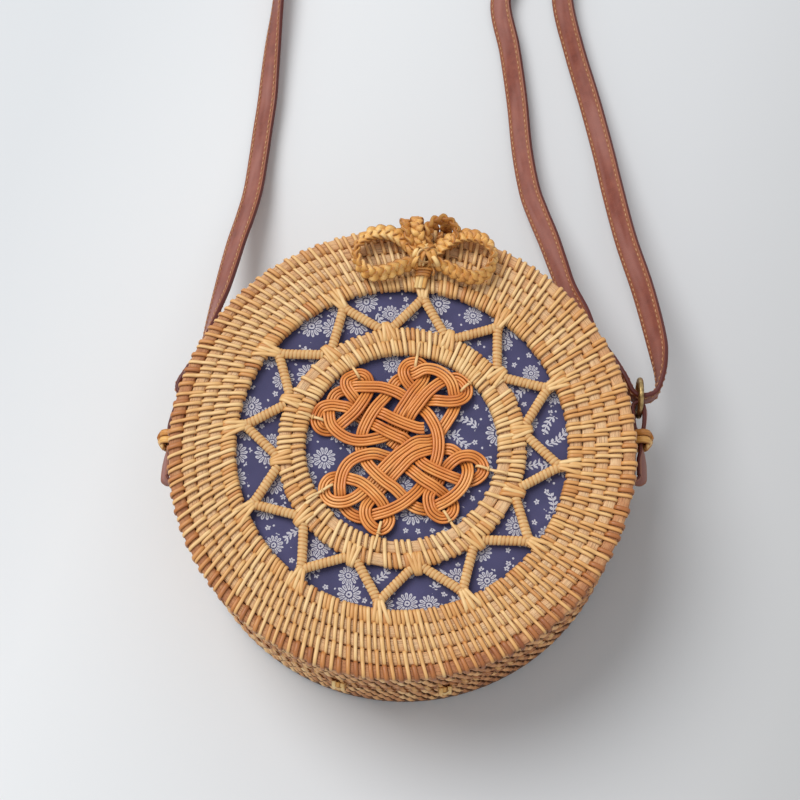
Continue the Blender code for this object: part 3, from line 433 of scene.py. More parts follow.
FIBRE_ACROSS = 3.2
FIBRE_ALONG = 160.0
TONE_SPREAD = 37.0
ROD_LINES = 14.0


def cane_look(name, stops, roughness, crevice_shade_colour, fibre_strength, across_fibres=FIBRE_ACROSS, patch=0.25):
    """Split cane: tone picks its colour, fine fibres run along it, and painted shade darkens its edges."""
    look = Look(name, roughness)
    across, along, tone = look.grain()
    fibre_place = look.vector(
        look.times(across, across_fibres), look.times(along, FIBRE_ALONG), look.times(tone, TONE_SPREAD)
    )
    fibres = look.noise(fibre_place, 1.0, 3.0, 0.6)
    blotches = look.noise(look.place(), 95.0, 2.0)
    shade = look.plus(look.plus(tone, look.swing(fibres, fibre_strength)), look.swing(blotches, patch))
    colour = look.ramp(shade, *stops)
    # Painted shade: the section's edges, where strips meet their neighbours and the rods, are darkened towards the
    # crevice colour.
    edge = look.math("POWER", look.size(across), 4.0)
    look.set("Base Color", look.mix(look.times(edge, 0.9), colour, crevice_shade_colour))
    look.set("Roughness", look.line(fibres, 0.25, roughness - 0.12))
    look.bump(fibres, 0.00008, 0.6)
    return look.material


PALE_STOPS = (
    (0.0, (0.25, 0.07, 0.02)), (0.3, (0.51, 0.19, 0.05)), (0.5, (0.69, 0.34, 0.105)),
    (0.72, (0.79, 0.475, 0.185)), (1.0, (0.89, 0.63, 0.31)),
)
STRIP_LOOK = cane_look("bound_cane", PALE_STOPS, 0.45, (0.30, 0.10, 0.03), 0.4, patch=0.35)
SPOKE_LOOK = cane_look("wound_cane", PALE_STOPS, 0.5, (0.62, 0.36, 0.14), 0.3, across_fibres=1.5)
WALL_LOOK = cane_look(
    "wall_cane",
    ((0.0, (0.26, 0.075, 0.022)), (0.4, (0.62, 0.27, 0.095)), (0.7, (0.86, 0.46, 0.18)), (1.0, (0.97, 0.66, 0.32))),
    0.55, (0.13, 0.035, 0.010), 0.5, patch=0.5,
)
KNOT_LOOK = cane_look(
    "knot_cane",
    (
        (0.0, (0.31, 0.058, 0.010)), (0.35, (0.60, 0.165, 0.028)), (0.65, (0.79, 0.285, 0.060)),
        (1.0, (0.93, 0.51, 0.17)),
    ),
    0.34, (0.16, 0.018, 0.004), 0.5, across_fibres=1.2, patch=0.55,
)
STRAW_LOOK = cane_look(
    "straw_braid",
    ((0.0, (0.24, 0.075, 0.015)), (0.35, (0.60, 0.25, 0.05)), (0.65, (0.82, 0.45, 0.12)), (1.0, (0.95, 0.70, 0.33))),
    0.5, (0.28, 0.09, 0.018), 0.7, patch=0.6,
)


def rod_look(name, stops, groove):
    """A hoop of thin parallel canes: dark lines run along it and reddish stains cross it."""
    look = Look(name, 0.6)
    across, along, tone = look.grain()
    stripe_place = look.vector(
        look.times(across, ROD_LINES), look.times(along, 55.0),
        look.times(tone, TONE_SPREAD),
    )
    stripes = look.noise(stripe_place, 1.0, 2.0, 0.7)
    stains = look.noise(look.place(), 210.0, 2.0)
    shade = look.plus(tone, look.swing(stains, 0.9))
    colour = look.ramp(shade, *stops)
    dark = look.times(look.math("LESS_THAN", stripes, 0.42), 0.6)
    look.set("Base Color", look.mix(dark, colour, groove))
    look.bump(stripes, 0.00022)
    return look.material


ROD_LOOK = rod_look(
    "striped_rods",
    ((0.0, (0.28, 0.085, 0.03)), (0.35, (0.52, 0.22, 0.085)), (0.65, (0.74, 0.42, 0.19)), (1.0, (0.84, 0.57, 0.31))),
    (0.17, 0.05, 0.016),
)
# Painted shade: the wall's rods are near-black brown, standing for the shade in the gaps between the stitches.
SHADED_WALL_ROD_LOOK = rod_look(
    "wall_rods",
    ((0.0, (0.05, 0.018, 0.006)), (0.5, (0.13, 0.052, 0.02)), (1.0, (0.26, 0.12, 0.05))),
    (0.045, 0.016, 0.005),
)


def leather_look():
    """Waxed leather: dark red edges, an orange brown band under each line of stitches, and a painted sheen down the
    middle.
    """
    look = Look("leather_painted_sheen", 0.5)
    across, along, _ = look.grain()
    off = look.size(across)
    mottle = look.noise(look.place(), 160.0, 4.0, 0.6)
    pores = look.node("ShaderNodeTexVoronoi", {"Vector": look.place(), "Scale": 1500.0}, "Distance")
    sheen_mottle_place = look.vector(look.times(across, 0.8), look.times(along, 22.0), 0.0)
    sheen_mottle = look.noise(sheen_mottle_place, 1.0, 2.0)
    face = look.ramp(mottle, (0.25, (0.135, 0.030, 0.016)), (0.5, (0.20, 0.046, 0.026)), (0.75, (0.27, 0.075, 0.042)))
    # Painted sheen: a pinkish light streak down the middle of the face, mottled along the strap.
    middle = look.minus(1.0, look.math("POWER", off, 2.0))
    painted_sheen = look.times(middle, look.ramp(sheen_mottle, (0.38, (0.08, 0.08, 0.08)), (0.62, (0.72, 0.72, 0.72))))
    face = look.mix(painted_sheen, face, (0.36, 0.155, 0.125))
    band = look.times(look.math("GREATER_THAN", off, 0.58), 0.62)
    face = look.mix(band, face, (0.31, 0.105, 0.042))
    edge = look.math("GREATER_THAN", off, 0.94)
    look.set("Base Color", look.mix(edge, face, (0.095, 0.013, 0.009)))
    look.set("Roughness", look.line(mottle, 0.3, 0.32))
    look.shader.inputs["Specular IOR Level"].default_value = 0.38
    look.bump(pores, 0.00012, 0.5)
    return look.material


def brass_look():
    look = Look("old_brass", 0.4, 1.0)
    tarnish = look.noise(look.place(), 420.0, 4.0, 0.6)
    colour = look.ramp(tarnish, (0.3, (0.20, 0.13, 0.05)), (0.52, (0.42, 0.30, 0.13)), (0.75, (0.66, 0.50, 0.26)))
    look.set("Base Color", colour)
    look.set("Roughness", look.line(tarnish, -0.3, 0.55))
    look.bump(tarnish, 0.00005)
    return look.material


def thread_look():
    look = Look("stitching_thread", 0.7)
    twist = look.noise(look.place(), 900.0, 2.0)
    look.set("Base Color", look.ramp(twist, (0.3, (0.42, 0.19, 0.09)), (0.7, (0.62, 0.35, 0.19))))
    return look.material


LEATHER_LOOK = leather_look()
BRASS_LOOK = brass_look()
THREAD_LOOK = thread_look()

# Sizes read from the frame


def outer_edge(node):
    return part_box(node)[1][0]


def middle(node):
    low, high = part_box(node)
    return [(a + b) / 2 for a, b in zip(low, high)]


FACE_BASE, FACE_TOP = (corner[2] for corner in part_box("border_hoop_1"))
FACE_MIDDLE = (FACE_TOP + FACE_BASE) / 2
ROD_WIDTH = ROD_PITCH - ROD_GAP
ROD_HEIGHT = FACE_TOP - FACE_BASE
ROD_TOP = FACE_TOP - ROD_SINK
BORDER_RODS = [outer_edge(f"border_hoop_{row + 1}") - ROD_WIDTH / 2 for row in range(BORDER_ROWS)]
RING_RODS = [outer_edge(f"ring_hoop_{name}") - ROD_WIDTH / 2 for name in RING_NAMES]
SHELL_INSIDE = outer_edge("lid_lining") + ROD_GAP
SIDE_X = middle("ring_right")[0]
# Each side's name, which way it lies, its loop's height up the bag and its tab's lean
SIDES = (("left", -1, 0.0080, math.radians(-12)), ("right", 1, 0.0175, 0.0))
RING_REACH = 0.0204
TAB_TAIL_REACH = 0.0195
TAB_WAIST_UP = 0.0028


def inner_side(rod):
    return rod - ROD_WIDTH / 2


def outer_side(rod):
    return rod + ROD_WIDTH / 2


def on_side(points, side, loop_y, lean):
    """Points given from a side loop's middle, put in place, with those above the tab's waist turned by its lean."""
    points = np.asarray(points, float)
    x, y = points[:, 0], points[:, 1]
    up = np.maximum(y - TAB_WAIST_UP, 0)
    turn = np.where(up > 0, lean, 0.0)
    turned_x = x * np.cos(turn) - up * np.sin(turn) + side * SIDE_X
    turned_y = np.minimum(y, TAB_WAIST_UP) + x * np.sin(turn) + up * np.cos(turn) + loop_y
    return np.stack((turned_x, turned_y, points[:, 2]), axis=1)


def vary(spread):
    """The next random draw, up to the spread either way."""
    return DRAWS.uniform(-spread, spread)


def make_camera():
    camera = bpy.data.objects.new("camera", bpy.data.cameras.new("camera"))
    bpy.context.scene.collection.objects.link(camera)
    right, up = Vector(CAMERA_RIGHT), Vector(CAMERA_UP)
    turn = Matrix((right, up, right.cross(up))).transposed().to_4x4()
    camera.matrix_world = Matrix.Translation(CAMERA_PLACE) @ turn
    camera.data.sensor_width = SENSOR_WIDTH
    camera.data.lens = CAMERA_FOCUS_PIXELS / PHOTO_PIXELS * SENSOR_WIDTH
    camera.data.clip_start = CAMERA_CLIP
    bpy.context.scene.camera = camera


# Leather strap


def strap_frame(path, roll):
    """The strap's width direction at each point: up where the roll is 0, level where it is 90 degrees."""
    ahead = travel(path)
    upward = square(UP, ahead)
    roll = np.radians(roll)[:, None]
    return upward * np.cos(roll) + np.cross(ahead, upward) * np.sin(roll)


def strap_section():
    """Two plies with a softly rounded edge and a shallow dip along each line of stitches."""
    half, thick = STRAP_WIDTH / 2, STRAP_THICKNESS / 2
    right = [(half - inset, share * thick) for inset, share in STRAP_EDGE]
    upper = right + [(-x, y) for x, y in right[:0:-1]]
    return np.array(upper[:-1] + [(-x, -y) for x, y in upper[:-1]])


def make_strap():
    """The leather strap along its way, and rows of stitches on both faces."""
    route = smooth([(side * SIDE_X + x, y, z, roll) for side, x, y, z, roll in STRAP_ROUTE], 8)
    route = even(route, STRAP_STEP)
    path, roll = route[:, :3], route[:, 3]
    strap = Pile()
    strap.sweep(path, strap_frame(path, roll), strap_section())
    band = strap.piece("leather_strap", LEATHER_LOOK, "back_half", "strap_leather", ["strap"])
    stitches = Pile()
    fine = even(route, STITCH_PITCH)
    fine_path = fine[:, :3]
    fine_across = strap_frame(fine_path, fine[:, 3])
    ahead = travel(fine_path)
    out = np.cross(ahead, fine_across)
    section = oval(THREAD_WIDTH, THREAD_WIDTH * THREAD_FLATNESS, 5)
    for edge in (-1, 1):
        for face in (-1, 1):
            line = fine_path + fine_across * edge * (STRAP_WIDTH / 2 - STITCH_INSET)
            line = line + out * face * STRAP_THICKNESS * STITCH_DEPTH
            for centre, forward, lift, side in zip(line[1:-1], ahead[1:-1], out[1:-1], fine_across[1:-1]):
                reach = forward * STITCH_LENGTH / 2
                rise = lift * face * THREAD_WIDTH / 2
                stitches.sweep([centre - reach, centre + rise, centre + reach], side, section, swell=(0.5, 1, 0.5))
    thread = stitches.piece("strap_stitching", THREAD_LOOK, "back_half", "strap_leather")
    return band, thread, path


def make_keeper():
    """A leather band round both layers of the strap."""
    low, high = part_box("strap_keeper")
    straight_y = (high[1] - low[1] - KEEPER_WALL) / 2 - KEEPER_CORNER
    straight_z = (high[2] - low[2] - KEEPER_WALL) / 2 - KEEPER_CORNER
    loop = []
    for quarter, (y, z) in enumerate(((1, 1), (-1, 1), (-1, -1), (1, -1))):
        for step in range(4):
            turn = (quarter + step / 3) * math.pi / 2
            loop.append((
                0, y * straight_y + KEEPER_CORNER * math.cos(turn), z * straight_z + KEEPER_CORNER * math.sin(turn),
            ))
    keeper = Pile()
    section = oval(high[0] - low[0], KEEPER_WALL, 12, 0.35)
    keeper.sweep(np.array(loop) + middle("strap_keeper"), (1, 0, 0), section, closed=True)
    return keeper.piece("strap_loop_keeper", LEATHER_LOOK, "back_half", "strap_leather", ["strap_keeper"])


# Hoops and their binding


def rod_profile(width, height):
    """A flattened round section made of thin parallel canes."""
    outline = oval(width, height, ROD_CORNERS, ROD_SQUARENESS)
    x = outline[:, 0] / (width / 2)
    ripple = np.abs(np.sin((x + 1) / 2 * math.pi * ROD_CANES)) * ROD_GROOVE
    outline[:, 1] -= np.sign(outline[:, 1]) * (ROD_GROOVE - ripple) * (np.abs(x) < ROD_FLANK)
    return outline


def sweep_hoop(pile, radius, level, section, tone):
    turn = turns(ROD_TURNS)
    pile.sweep(polar(radius, turn, level), outward(turn), section, tone=tone, closed=True)


def edge_fade(angle):
    """The outer rod is brown towards the hinge and paler towards the bow and on the right."""
    return 0.34 * np.clip(np.sin(angle + math.radians(28)) + 0.25, 0.0, 1.0)


def make_rods():
    """The border's five hoops and the centre ring's two."""
    level = (ROD_TOP + FACE_BASE) / 2
    section = rod_profile(ROD_WIDTH, ROD_TOP - FACE_BASE)
    hoops = [
        (f"border_rod_{row + 1}", f"border_hoop_{row + 1}", radius, tone)
        for row, (radius, tone) in enumerate(zip(BORDER_RODS, BORDER_TONES))
    ]
    hoops += [
        (f"ring_rod_{name}", f"ring_hoop_{name}", radius, tone)
        for name, radius, tone in zip(RING_NAMES, RING_RODS, RING_TONES)
    ]
    for name, node, radius, tone in hoops:
        rod = Pile()
        fade = edge_fade(turns(ROD_TURNS)) if node == "border_hoop_1" else 0
        sweep_hoop(rod, radius, level, section, tone + fade)
        rod.piece(name, ROD_LOOK, "lid", "rattan_pale", [node])


# A strip's way over its rods: share of the way across, and height over the rods' top in rod heights
LONG_WAY = (
    (-0.015, -0.50), (-0.025, -0.22), (0.015, 0.02), (0.09, 0.125), (0.22, 0.15), (0.36, 0.12), (0.50, 0.055),
    (0.64, 0.09), (0.78, 0.10), (0.90, 0.055), (0.99, -0.10), (1.01, -0.38),
)
SHORT_WAY = (
    (-0.05, -0.60), (-0.06, -0.28), (0.01, -0.02), (0.15, 0.085), (0.50, 0.11), (0.85, 0.06), (1.0, -0.08),
    (1.04, -0.30), (1.0, -0.55),
)
OVER_EDGE_WAY = (
    (0.0, -0.45), (-0.03, -0.2), (0.05, -0.01), (0.2, 0.08), (0.5, 0.10), (0.82, 0.06), (1.0, -0.07), (1.07, -0.35),
    (1.07, -0.75), (1.02, -1.05),
)


def lay_strip(pile, way, inner, outer, start, slant, width, thick, tone, top=ROD_TOP, narrow=1.0):
    """One strip from the inner edge of a hoop or two to the outer edge, turning by its slant on the way."""
    route = smooth(way, 2)
    radius = inner + route[:, 0] * (outer - inner)
    angle = start + math.tan(slant) * (radius - inner) / ((inner + outer) / 2)
    path = polar(radius, angle, top + route[:, 1] * ROD_HEIGHT)
    swell = np.linspace(1.0, narrow, len(path))
    section = oval(width, thick, STRAW_CORNERS, STRAW_SQUARENESS)
    pile.sweep(path, sideways(angle), section, tone=tone, swell=swell)
    return angle[-1]


TIP_LASH_WAY = (
    (-0.02, -0.62), (-0.03, -0.25), (0.05, 0.02), (0.2, 0.12), (0.42, 0.13), (0.6, 0.17), (0.8, 0.15), (0.97, -0.02),
    (1.03, -0.3),
)
FOOT_LASH_WAY = (
    (-0.03, -0.3), (-0.01, -0.05), (0.1, 0.14), (0.32, 0.17), (0.55, 0.14), (0.75, 0.12), (0.92, 0.02), (1.02, -0.22),
    (1.0, -0.55),
)


def painted_right_shade(angle):
    """Painted shade: rattan on the right and towards the hinge is made a little darker."""
    return -0.17 * max(0.0, math.cos(angle + math.radians(32)))


def weave_slant(angle):
    """The border's strips lean more on the left than on the right."""
    return math.radians(11 - 8 * math.cos(angle))


def make_border_binding():
    """Each long strip binds two hoops; the next one out starts a little further round."""
    strips, wraps = Pile(), Pile()
    pitch = FULL_TURN / BORDER_STRIPS
    for number in range(BORDER_STRIPS):
        angle = number * pitch
        for row in range(BORDER_ROWS - 1, 0, -1):
            inner, outer = inner_side(BORDER_RODS[row]), outer_side(BORDER_RODS[row - 1])
            start = angle + vary(0.05) * pitch
            # Painted shade on the right lowers each long strip's tone.
            tone = LONG_TONE + vary(0.16) - (0.08 if row == 1 else 0) + painted_right_shade(start)
            width = STRIP_WIDTH * (1 + vary(0.10))
            slant = weave_slant(start) + vary(0.03)
            end = lay_strip(strips, LONG_WAY, inner, outer, start, slant, width, STRIP_THICKNESS, tone, narrow=0.8)
            if row == BORDER_ROWS - 1:
                wrap_inner_row(wraps, start, pitch)
            angle = end - math.tan(slant) * ROD_GAP / outer + ROW_SHIFT * pitch
        wrap_outer_row(wraps, angle, pitch)
    strips.piece("border_binding", STRIP_LOOK, "lid", "rattan_pale")
    wraps.piece("border_edge_wraps", STRIP_LOOK, "lid", "rattan_pale")


def wrap_inner_row(pile, start, pitch):
    """One or two short strips round the innermost hoop, between two long ones."""
    rod = BORDER_RODS[-1]
    shares = [0.37] + ([0.69] if DRAWS.random() < 0.45 else [])
    for share in shares:
        slant = weave_slant(start) + vary(0.05)
        width = STRIP_WIDTH * (0.86 + vary(0.1))
        lay_strip(
            pile, SHORT_WAY, inner_side(rod), outer_side(rod), start + share * pitch, slant, width, STRIP_THICKNESS,
            0.52 + vary(0.16),
        )


def wrap_outer_row(pile, start, pitch):
    """A short strip round the outermost hoop that goes down over the lid's edge."""
    rod = BORDER_RODS[0]
    width = STRIP_WIDTH * (1.0 + vary(0.12))
    slant = weave_slant(start) + vary(0.05)
    # Painted shade on the right lowers the edge wrap's tone.
    tone = BORDER_TONES[0] + vary(0.14) + painted_right_shade(start) + edge_fade(start)
    lay_strip(pile, OVER_EDGE_WAY, inner_side(rod), outer_side(rod), start, slant, width, STRIP_THICKNESS, tone)


def make_ring_binding():
    """Long strips over both hoops of the centre ring, with short ones between, closest at the top."""
    pile = Pile()
    pitch = FULL_TURN / RING_STRIPS
    outer_rod, inner_rod = RING_RODS
    for number in range(RING_STRIPS):
        angle = number * pitch + vary(0.06) * pitch
        slant = RING_SLANT + vary(0.08)
        tone = 0.84 + vary(0.14)
        lay_strip(
            pile, LONG_WAY, inner_side(inner_rod), outer_side(outer_rod), angle, slant, STRIP_WIDTH * 0.95,
            STRIP_THICKNESS, tone,
        )
        dense = (0.5 + 0.5 * math.sin(angle - RING_DENSE_TURN)) ** 1.5
        for rod, crowded, tone in ((inner_rod, dense, 0.70), (outer_rod, 0.35, 0.60)):
            lean = math.tan(slant) * (rod - inner_rod) / rod
            draw = DRAWS.random()
            shares = (0.36, 0.68) if draw < crowded else (0.52,) if draw < crowded + 0.45 else ()
            for share in shares:
                width = STRIP_WIDTH * (0.92 + vary(0.12))
                start = angle + lean + (share + vary(0.05)) * pitch
                lay_strip(
                    pile, SHORT_WAY, inner_side(rod), outer_side(rod), start, slant, width, STRIP_THICKNESS,
                    tone + vary(0.18),
                )
    pile.piece("ring_binding", STRIP_LOOK, "lid", "rattan_pale")


# Star of wound spokes

STAR_POINTS = 12
STAR_TURN = math.radians(84.8)
STAR_ROD_RADIUS = 0.0021
STAR_TIP_BEND = 0.0026
STAR_FOOT_SPACING = 0.0047
WINDING_PITCH = 0.0017
WINDING_GROOVE = 0.13
WINDING_GROOVE_WIDTH = 0.13
WINDING_GROOVE_SHADE = 0.62
WINDING_CORNERS = 16
STAR_BEND_START = 0.86
TIP_LASH_SPREAD = math.radians(17)
FOOT_LASH_SHIFT = 0.0009


def wound_section(along, radius):
    """A rod's section at each point of its length, grooved where one turn of the winding meets the next."""
    turn = turns(WINDING_CORNERS)
    phase = (along[:, None] / WINDING_PITCH + turn / FULL_TURN) % 1.0
    groove = np.exp(-((np.minimum(phase, 1 - phase) / WINDING_GROOVE_WIDTH) ** 2))
    reach = radius * (1 - WINDING_GROOVE * groove)
    return np.stack((reach * np.cos(turn), reach * np.sin(turn)), axis=-1)


def make_spokes():
    """Twelve close-wound rods, each bent to a point at the border, with their lashings."""
    half = math.pi / STAR_POINTS
    tip_reach = inner_side(BORDER_RODS[-1]) - STAR_ROD_RADIUS
    foot_reach = outer_side(RING_RODS[0]) + STAR_ROD_RADIUS
    foot_half = half - STAR_FOOT_SPACING / (2 * foot_reach)
    lashings = Pile()
    for k in range(STAR_POINTS):
        tip_angle = STAR_TURN - k * 2 * half
        first, last = (
            polar(foot_reach - STAR_ROD_RADIUS * 0.7, tip_angle + side * foot_half, FACE_MIDDLE) for side in (1, -1)
        )
        bend = polar(tip_reach - STAR_TIP_BEND * 0.6, tip_angle, FACE_MIDDLE)
        beyond = polar(tip_reach + STAR_ROD_RADIUS * 0.2, tip_angle, FACE_MIDDLE)
        way = [
            first, part_way(first, bend, STAR_BEND_START), part_way(beyond, bend, 0.25),
            part_way(last, bend, STAR_BEND_START), last,
        ]
        path = even(smooth(way, 10), WINDING_PITCH / 8)
        along = lengths_along(path)
        wraps = (along / WINDING_PITCH).astype(int)
        tones = np.array([0.78 + vary(0.15) for _ in range(wraps[-1] + 1)])[wraps]
        spoke = Pile()
        section = wound_section(along, STAR_ROD_RADIUS)
        sunk = 1 - np.linalg.norm(section, axis=-1) / STAR_ROD_RADIUS
        # Painted shade: the tone is darkened in each groove where one turn of the winding meets the next.
        spoke.sweep(path, UP, section, tone=(tones[:, None] - WINDING_GROOVE_SHADE * sunk / WINDING_GROOVE).T)
        spoke.piece(f"star_spoke_{k + 1:02d}", SPOKE_LOOK, "lid", "rattan_pale", [f"star_point_{k + 1:02d}"])
        lash_tip(lashings, tip_angle, tip_reach)
        lash_foot(lashings, tip_angle - half, foot_reach)
    lashings.piece("star_lashings", STRIP_LOOK, "lid", "rattan_pale")


def lash_tip(pile, angle, reach):
    """Three strips from the star's point over the border's inner hoop."""
    inner = reach - STAR_ROD_RADIUS * 1.1
    for share in (-1.3, 0.1, 1.5):
        start = angle + share * 0.35 * STRIP_WIDTH / inner
        slant = TIP_LASH_SPREAD * share / 2 + weave_slant(angle)
        lay_strip(
            pile, TIP_LASH_WAY, inner, outer_side(BORDER_RODS[-1]), start, slant, STRIP_WIDTH, STRIP_THICKNESS,
            0.74 + vary(0.14),
        )


def lash_foot(pile, angle, reach):
    """Three strips from between two feet of the star over the ring's outer hoop."""
    inner, outer = inner_side(RING_RODS[0]), reach + STAR_ROD_RADIUS / 2
    for share in (-1.3, 0.0, 1.3):
        start = angle + (share * STRIP_WIDTH * 0.9 - FOOT_LASH_SHIFT) / inner
        slant = math.radians(8 - 9 * share)
        lay_strip(pile, FOOT_LASH_WAY, inner, outer, start, slant, STRIP_WIDTH, STRIP_THICKNESS, 0.66 + vary(0.2))


# Knot of four canes


def make_knot():
    """Two bands of four canes each, over and under one another."""
    for name, shares, closed in (("open", OPEN_BAND_SHARES, False), ("closed", CLOSED_BAND_SHARES, True)):
        points = [(x * KNOT_REACH, y * KNOT_REACH, FACE_MIDDLE + (2 * over - 1) * BAND_LIFT) for x, y, over in shares]
        path = smooth(points, 4, closed)
        across = unit(np.cross(UP, travel(path, closed)))
        pile = Pile()
        for cane in range(KNOT_CANES):
            offset = (cane - (KNOT_CANES - 1) / 2) * CANE_SPACING
            wave = np.arange(len(path)) * 0.11 + cane * 2.1
            line = path + across * (offset + CANE_SWAY * np.sin(wave))[:, None]
            line[:, 2] += CANE_RISE * np.cos(wave * 0.7)
            tone = 0.62 + vary(0.12)
            pile.sweep(line, across, oval(2 * CANE_RADIUS, 2 * CANE_RADIUS, 8), tone=tone, closed=closed)
        pile.piece(f"knot_canes_{name}", KNOT_LOOK, "lid", "knot_cane", [f"knot_band_{name}"])


def make_knot_ties():
    """A pale strip round each tied bend of the knot, drawn out over the ring's inner hoop."""
    ring_inside = inner_side(RING_RODS[1])
    for number, (share_x, share_y) in enumerate(TIED_BEND_SHARES):
        tie = Pile()
        x, y = share_x * KNOT_REACH, share_y * KNOT_REACH
        angle, bend = math.atan2(y, x), math.hypot(x, y)
        way = np.array(TIE_WAY) * MM + (0, FACE_MIDDLE)
        way[:, 0] += np.where(np.arange(len(way)) < TIE_POINTS_AT_BEND, bend, ring_inside)
        route = smooth(way, 3)
        path = polar(route[:, 0], angle + vary(0.01), route[:, 1])
        side = sideways(angle)
        tie.sweep(path, side, straw(1.35, 0.8), tone=0.86 + vary(0.1))
        if ring_inside - bend > TIE_COLLAR_ROOM:
            turn = turns(10)[:, None]
            centre = polar(bend + 2.3 * MM, angle, FACE_MIDDLE + 1.35 * MM)
            collar = centre + side * np.cos(turn) * 0.95 * MM + UP * np.sin(turn) * 0.75 * MM
            tie.sweep(collar, outward(angle), oval(0.9 * MM, 0.5 * MM, 6), tone=0.7, closed=True)
        tie.piece(f"knot_lashing_{number + 1}", STRIP_LOOK, "lid", "rattan_pale", [f"knot_tie_{number + 1}"])


# Walls, rims and back

WALL_SINK = 0.0009
WALL_GROOVE = 0.0005
WALL_BULGE = 0.0006
WALL_STITCHES = 124
WALL_STRIP = 0.0029
STITCH_ROW = 0.0075
# A wall stitch's way: share of its row's height, and rise over its sink in lifts
STITCH_WAY = ((-0.62, -1.0), (-0.42, -0.1), (0.0, 0.45), (0.42, -0.1), (0.62, -1.0))
STITCH_LEAN = -0.34
STITCH_REACH = 1.05
STITCH_SINK = 0.0008
STITCH_LIFT = 0.0017
STITCH_THICKNESS = 0.0014
RIM_STRIPS = 116
RIM_LEAN = 0.35
RIM_STRIP_THICKNESS = 0.0006
RIM_SIDE_ROOM = 0.0008
RIM_TOP_ROOM = 0.0005
RIM_ROD_SHIFT = 0.0002
# A winding's way over the rim: millimetres in from its outer side, and share of its half height
RIM_OVER = ((1.3, 1.0), (0.35, 0.62), (0.12, 0.0))
BACK_RISE = 0.00075
BACK_STRIP_PITCH = 0.0062
BACK_SLANT = math.radians(10)
COIL_START = 0.0003
COIL_GAP = 0.00085
COIL_TURNS = 3.2


def make_wall(node, body):
    """A wall of thin hoops bound by slanting stitches, each row set half a stitch on from the last."""
    low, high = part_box(node)[0][2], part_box(node)[1][2]
    outside = outer_edge(node)
    rows = round((high - low) / STITCH_ROW)
    row_height = (high - low) / rows
    core = outside - WALL_SINK
    shares = (np.arange(4 * rows) + 0.5) / 4
    radii = core - WALL_GROOVE + WALL_BULGE * np.abs(np.sin(shares * math.pi))
    profile = [(SHELL_INSIDE, high), (core - WALL_BULGE, high), *zip(radii, high - shares * row_height)]
    profile += [(core - WALL_BULGE, low), (SHELL_INSIDE, low)]
    centre = np.array([(SHELL_INSIDE + core) / 2, (low + high) / 2])
    shell = Pile()
    sweep_hoop(shell, centre[0], centre[1], np.array(profile)[::-1] - centre, 0.45)
    shell.piece(f"{node}_rods", SHADED_WALL_ROD_LOOK, body, "rattan_wall", [node])
    stitches = Pile()
    pitch = FULL_TURN / WALL_STITCHES
    way = smooth(STITCH_WAY, 2)
    for row in range(rows):
        level = high - (row + 0.5) * row_height
        tone_row = 0.68 + vary(0.06)
        for number in range(WALL_STITCHES):
            angle = (number + 0.5 * (row % 2) + vary(0.08)) * pitch
            path = polar(
                outside - STITCH_SINK + way[:, 1] * STITCH_LIFT, angle + way[:, 0] * 2 * STITCH_LEAN * pitch,
                level + way[:, 0] * row_height * STITCH_REACH,
            )
            section = oval(WALL_STRIP * (1 + vary(0.12)), STITCH_THICKNESS, 7)
            # Painted shade: stitches on the right side of the wall are darker.
            tone = tone_row + vary(0.3) + 1.6 * painted_right_shade(angle)
            stitches.sweep(path, sideways(angle), section, tone=tone)
    stitches.piece(f"{node}_stitches", WALL_LOOK, body, "rattan_wall")


def make_rim(node, body):
    """A hoop at the seam, wound with strips."""
    low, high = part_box(node)
    outside = high[0]
    width, height = outside - SHELL_INSIDE, high[2] - low[2]
    level = (low[2] + high[2]) / 2
    hoop = Pile()
    section = rod_profile(width - RIM_SIDE_ROOM, height - RIM_TOP_ROOM)
    sweep_hoop(hoop, (SHELL_INSIDE + outside) / 2 - RIM_ROD_SHIFT, level, section, 0.34)
    hoop.piece(f"{node}_rod", ROD_LOOK, body, "rattan_pale", [node])
    wraps = Pile()
    pitch = FULL_TURN / RIM_STRIPS
    over = [(SHELL_INSIDE + RIM_SIDE_ROOM, 0.97)] + [(outside - inset * MM, share) for inset, share in RIM_OVER]
    way = smooth(over + [(radius, -share) for radius, share in over[-2::-1]], 2)
    lean = np.linspace(-RIM_LEAN, RIM_LEAN, len(way)) * pitch
    rise = way[:, 1] * (height / 2 - ROD_GAP)
    for number in range(RIM_STRIPS):
        angle = (number + vary(0.08)) * pitch
        section = oval(STRIP_WIDTH * (1.05 + vary(0.1)), RIM_STRIP_THICKNESS, 6)
        path = polar(way[:, 0], angle + lean, level + rise)
        wraps.sweep(path, sideways(angle), section, tone=0.45 + vary(0.2))
    wraps.piece(f"{node}_wraps", STRIP_LOOK, body, "rattan_pale")


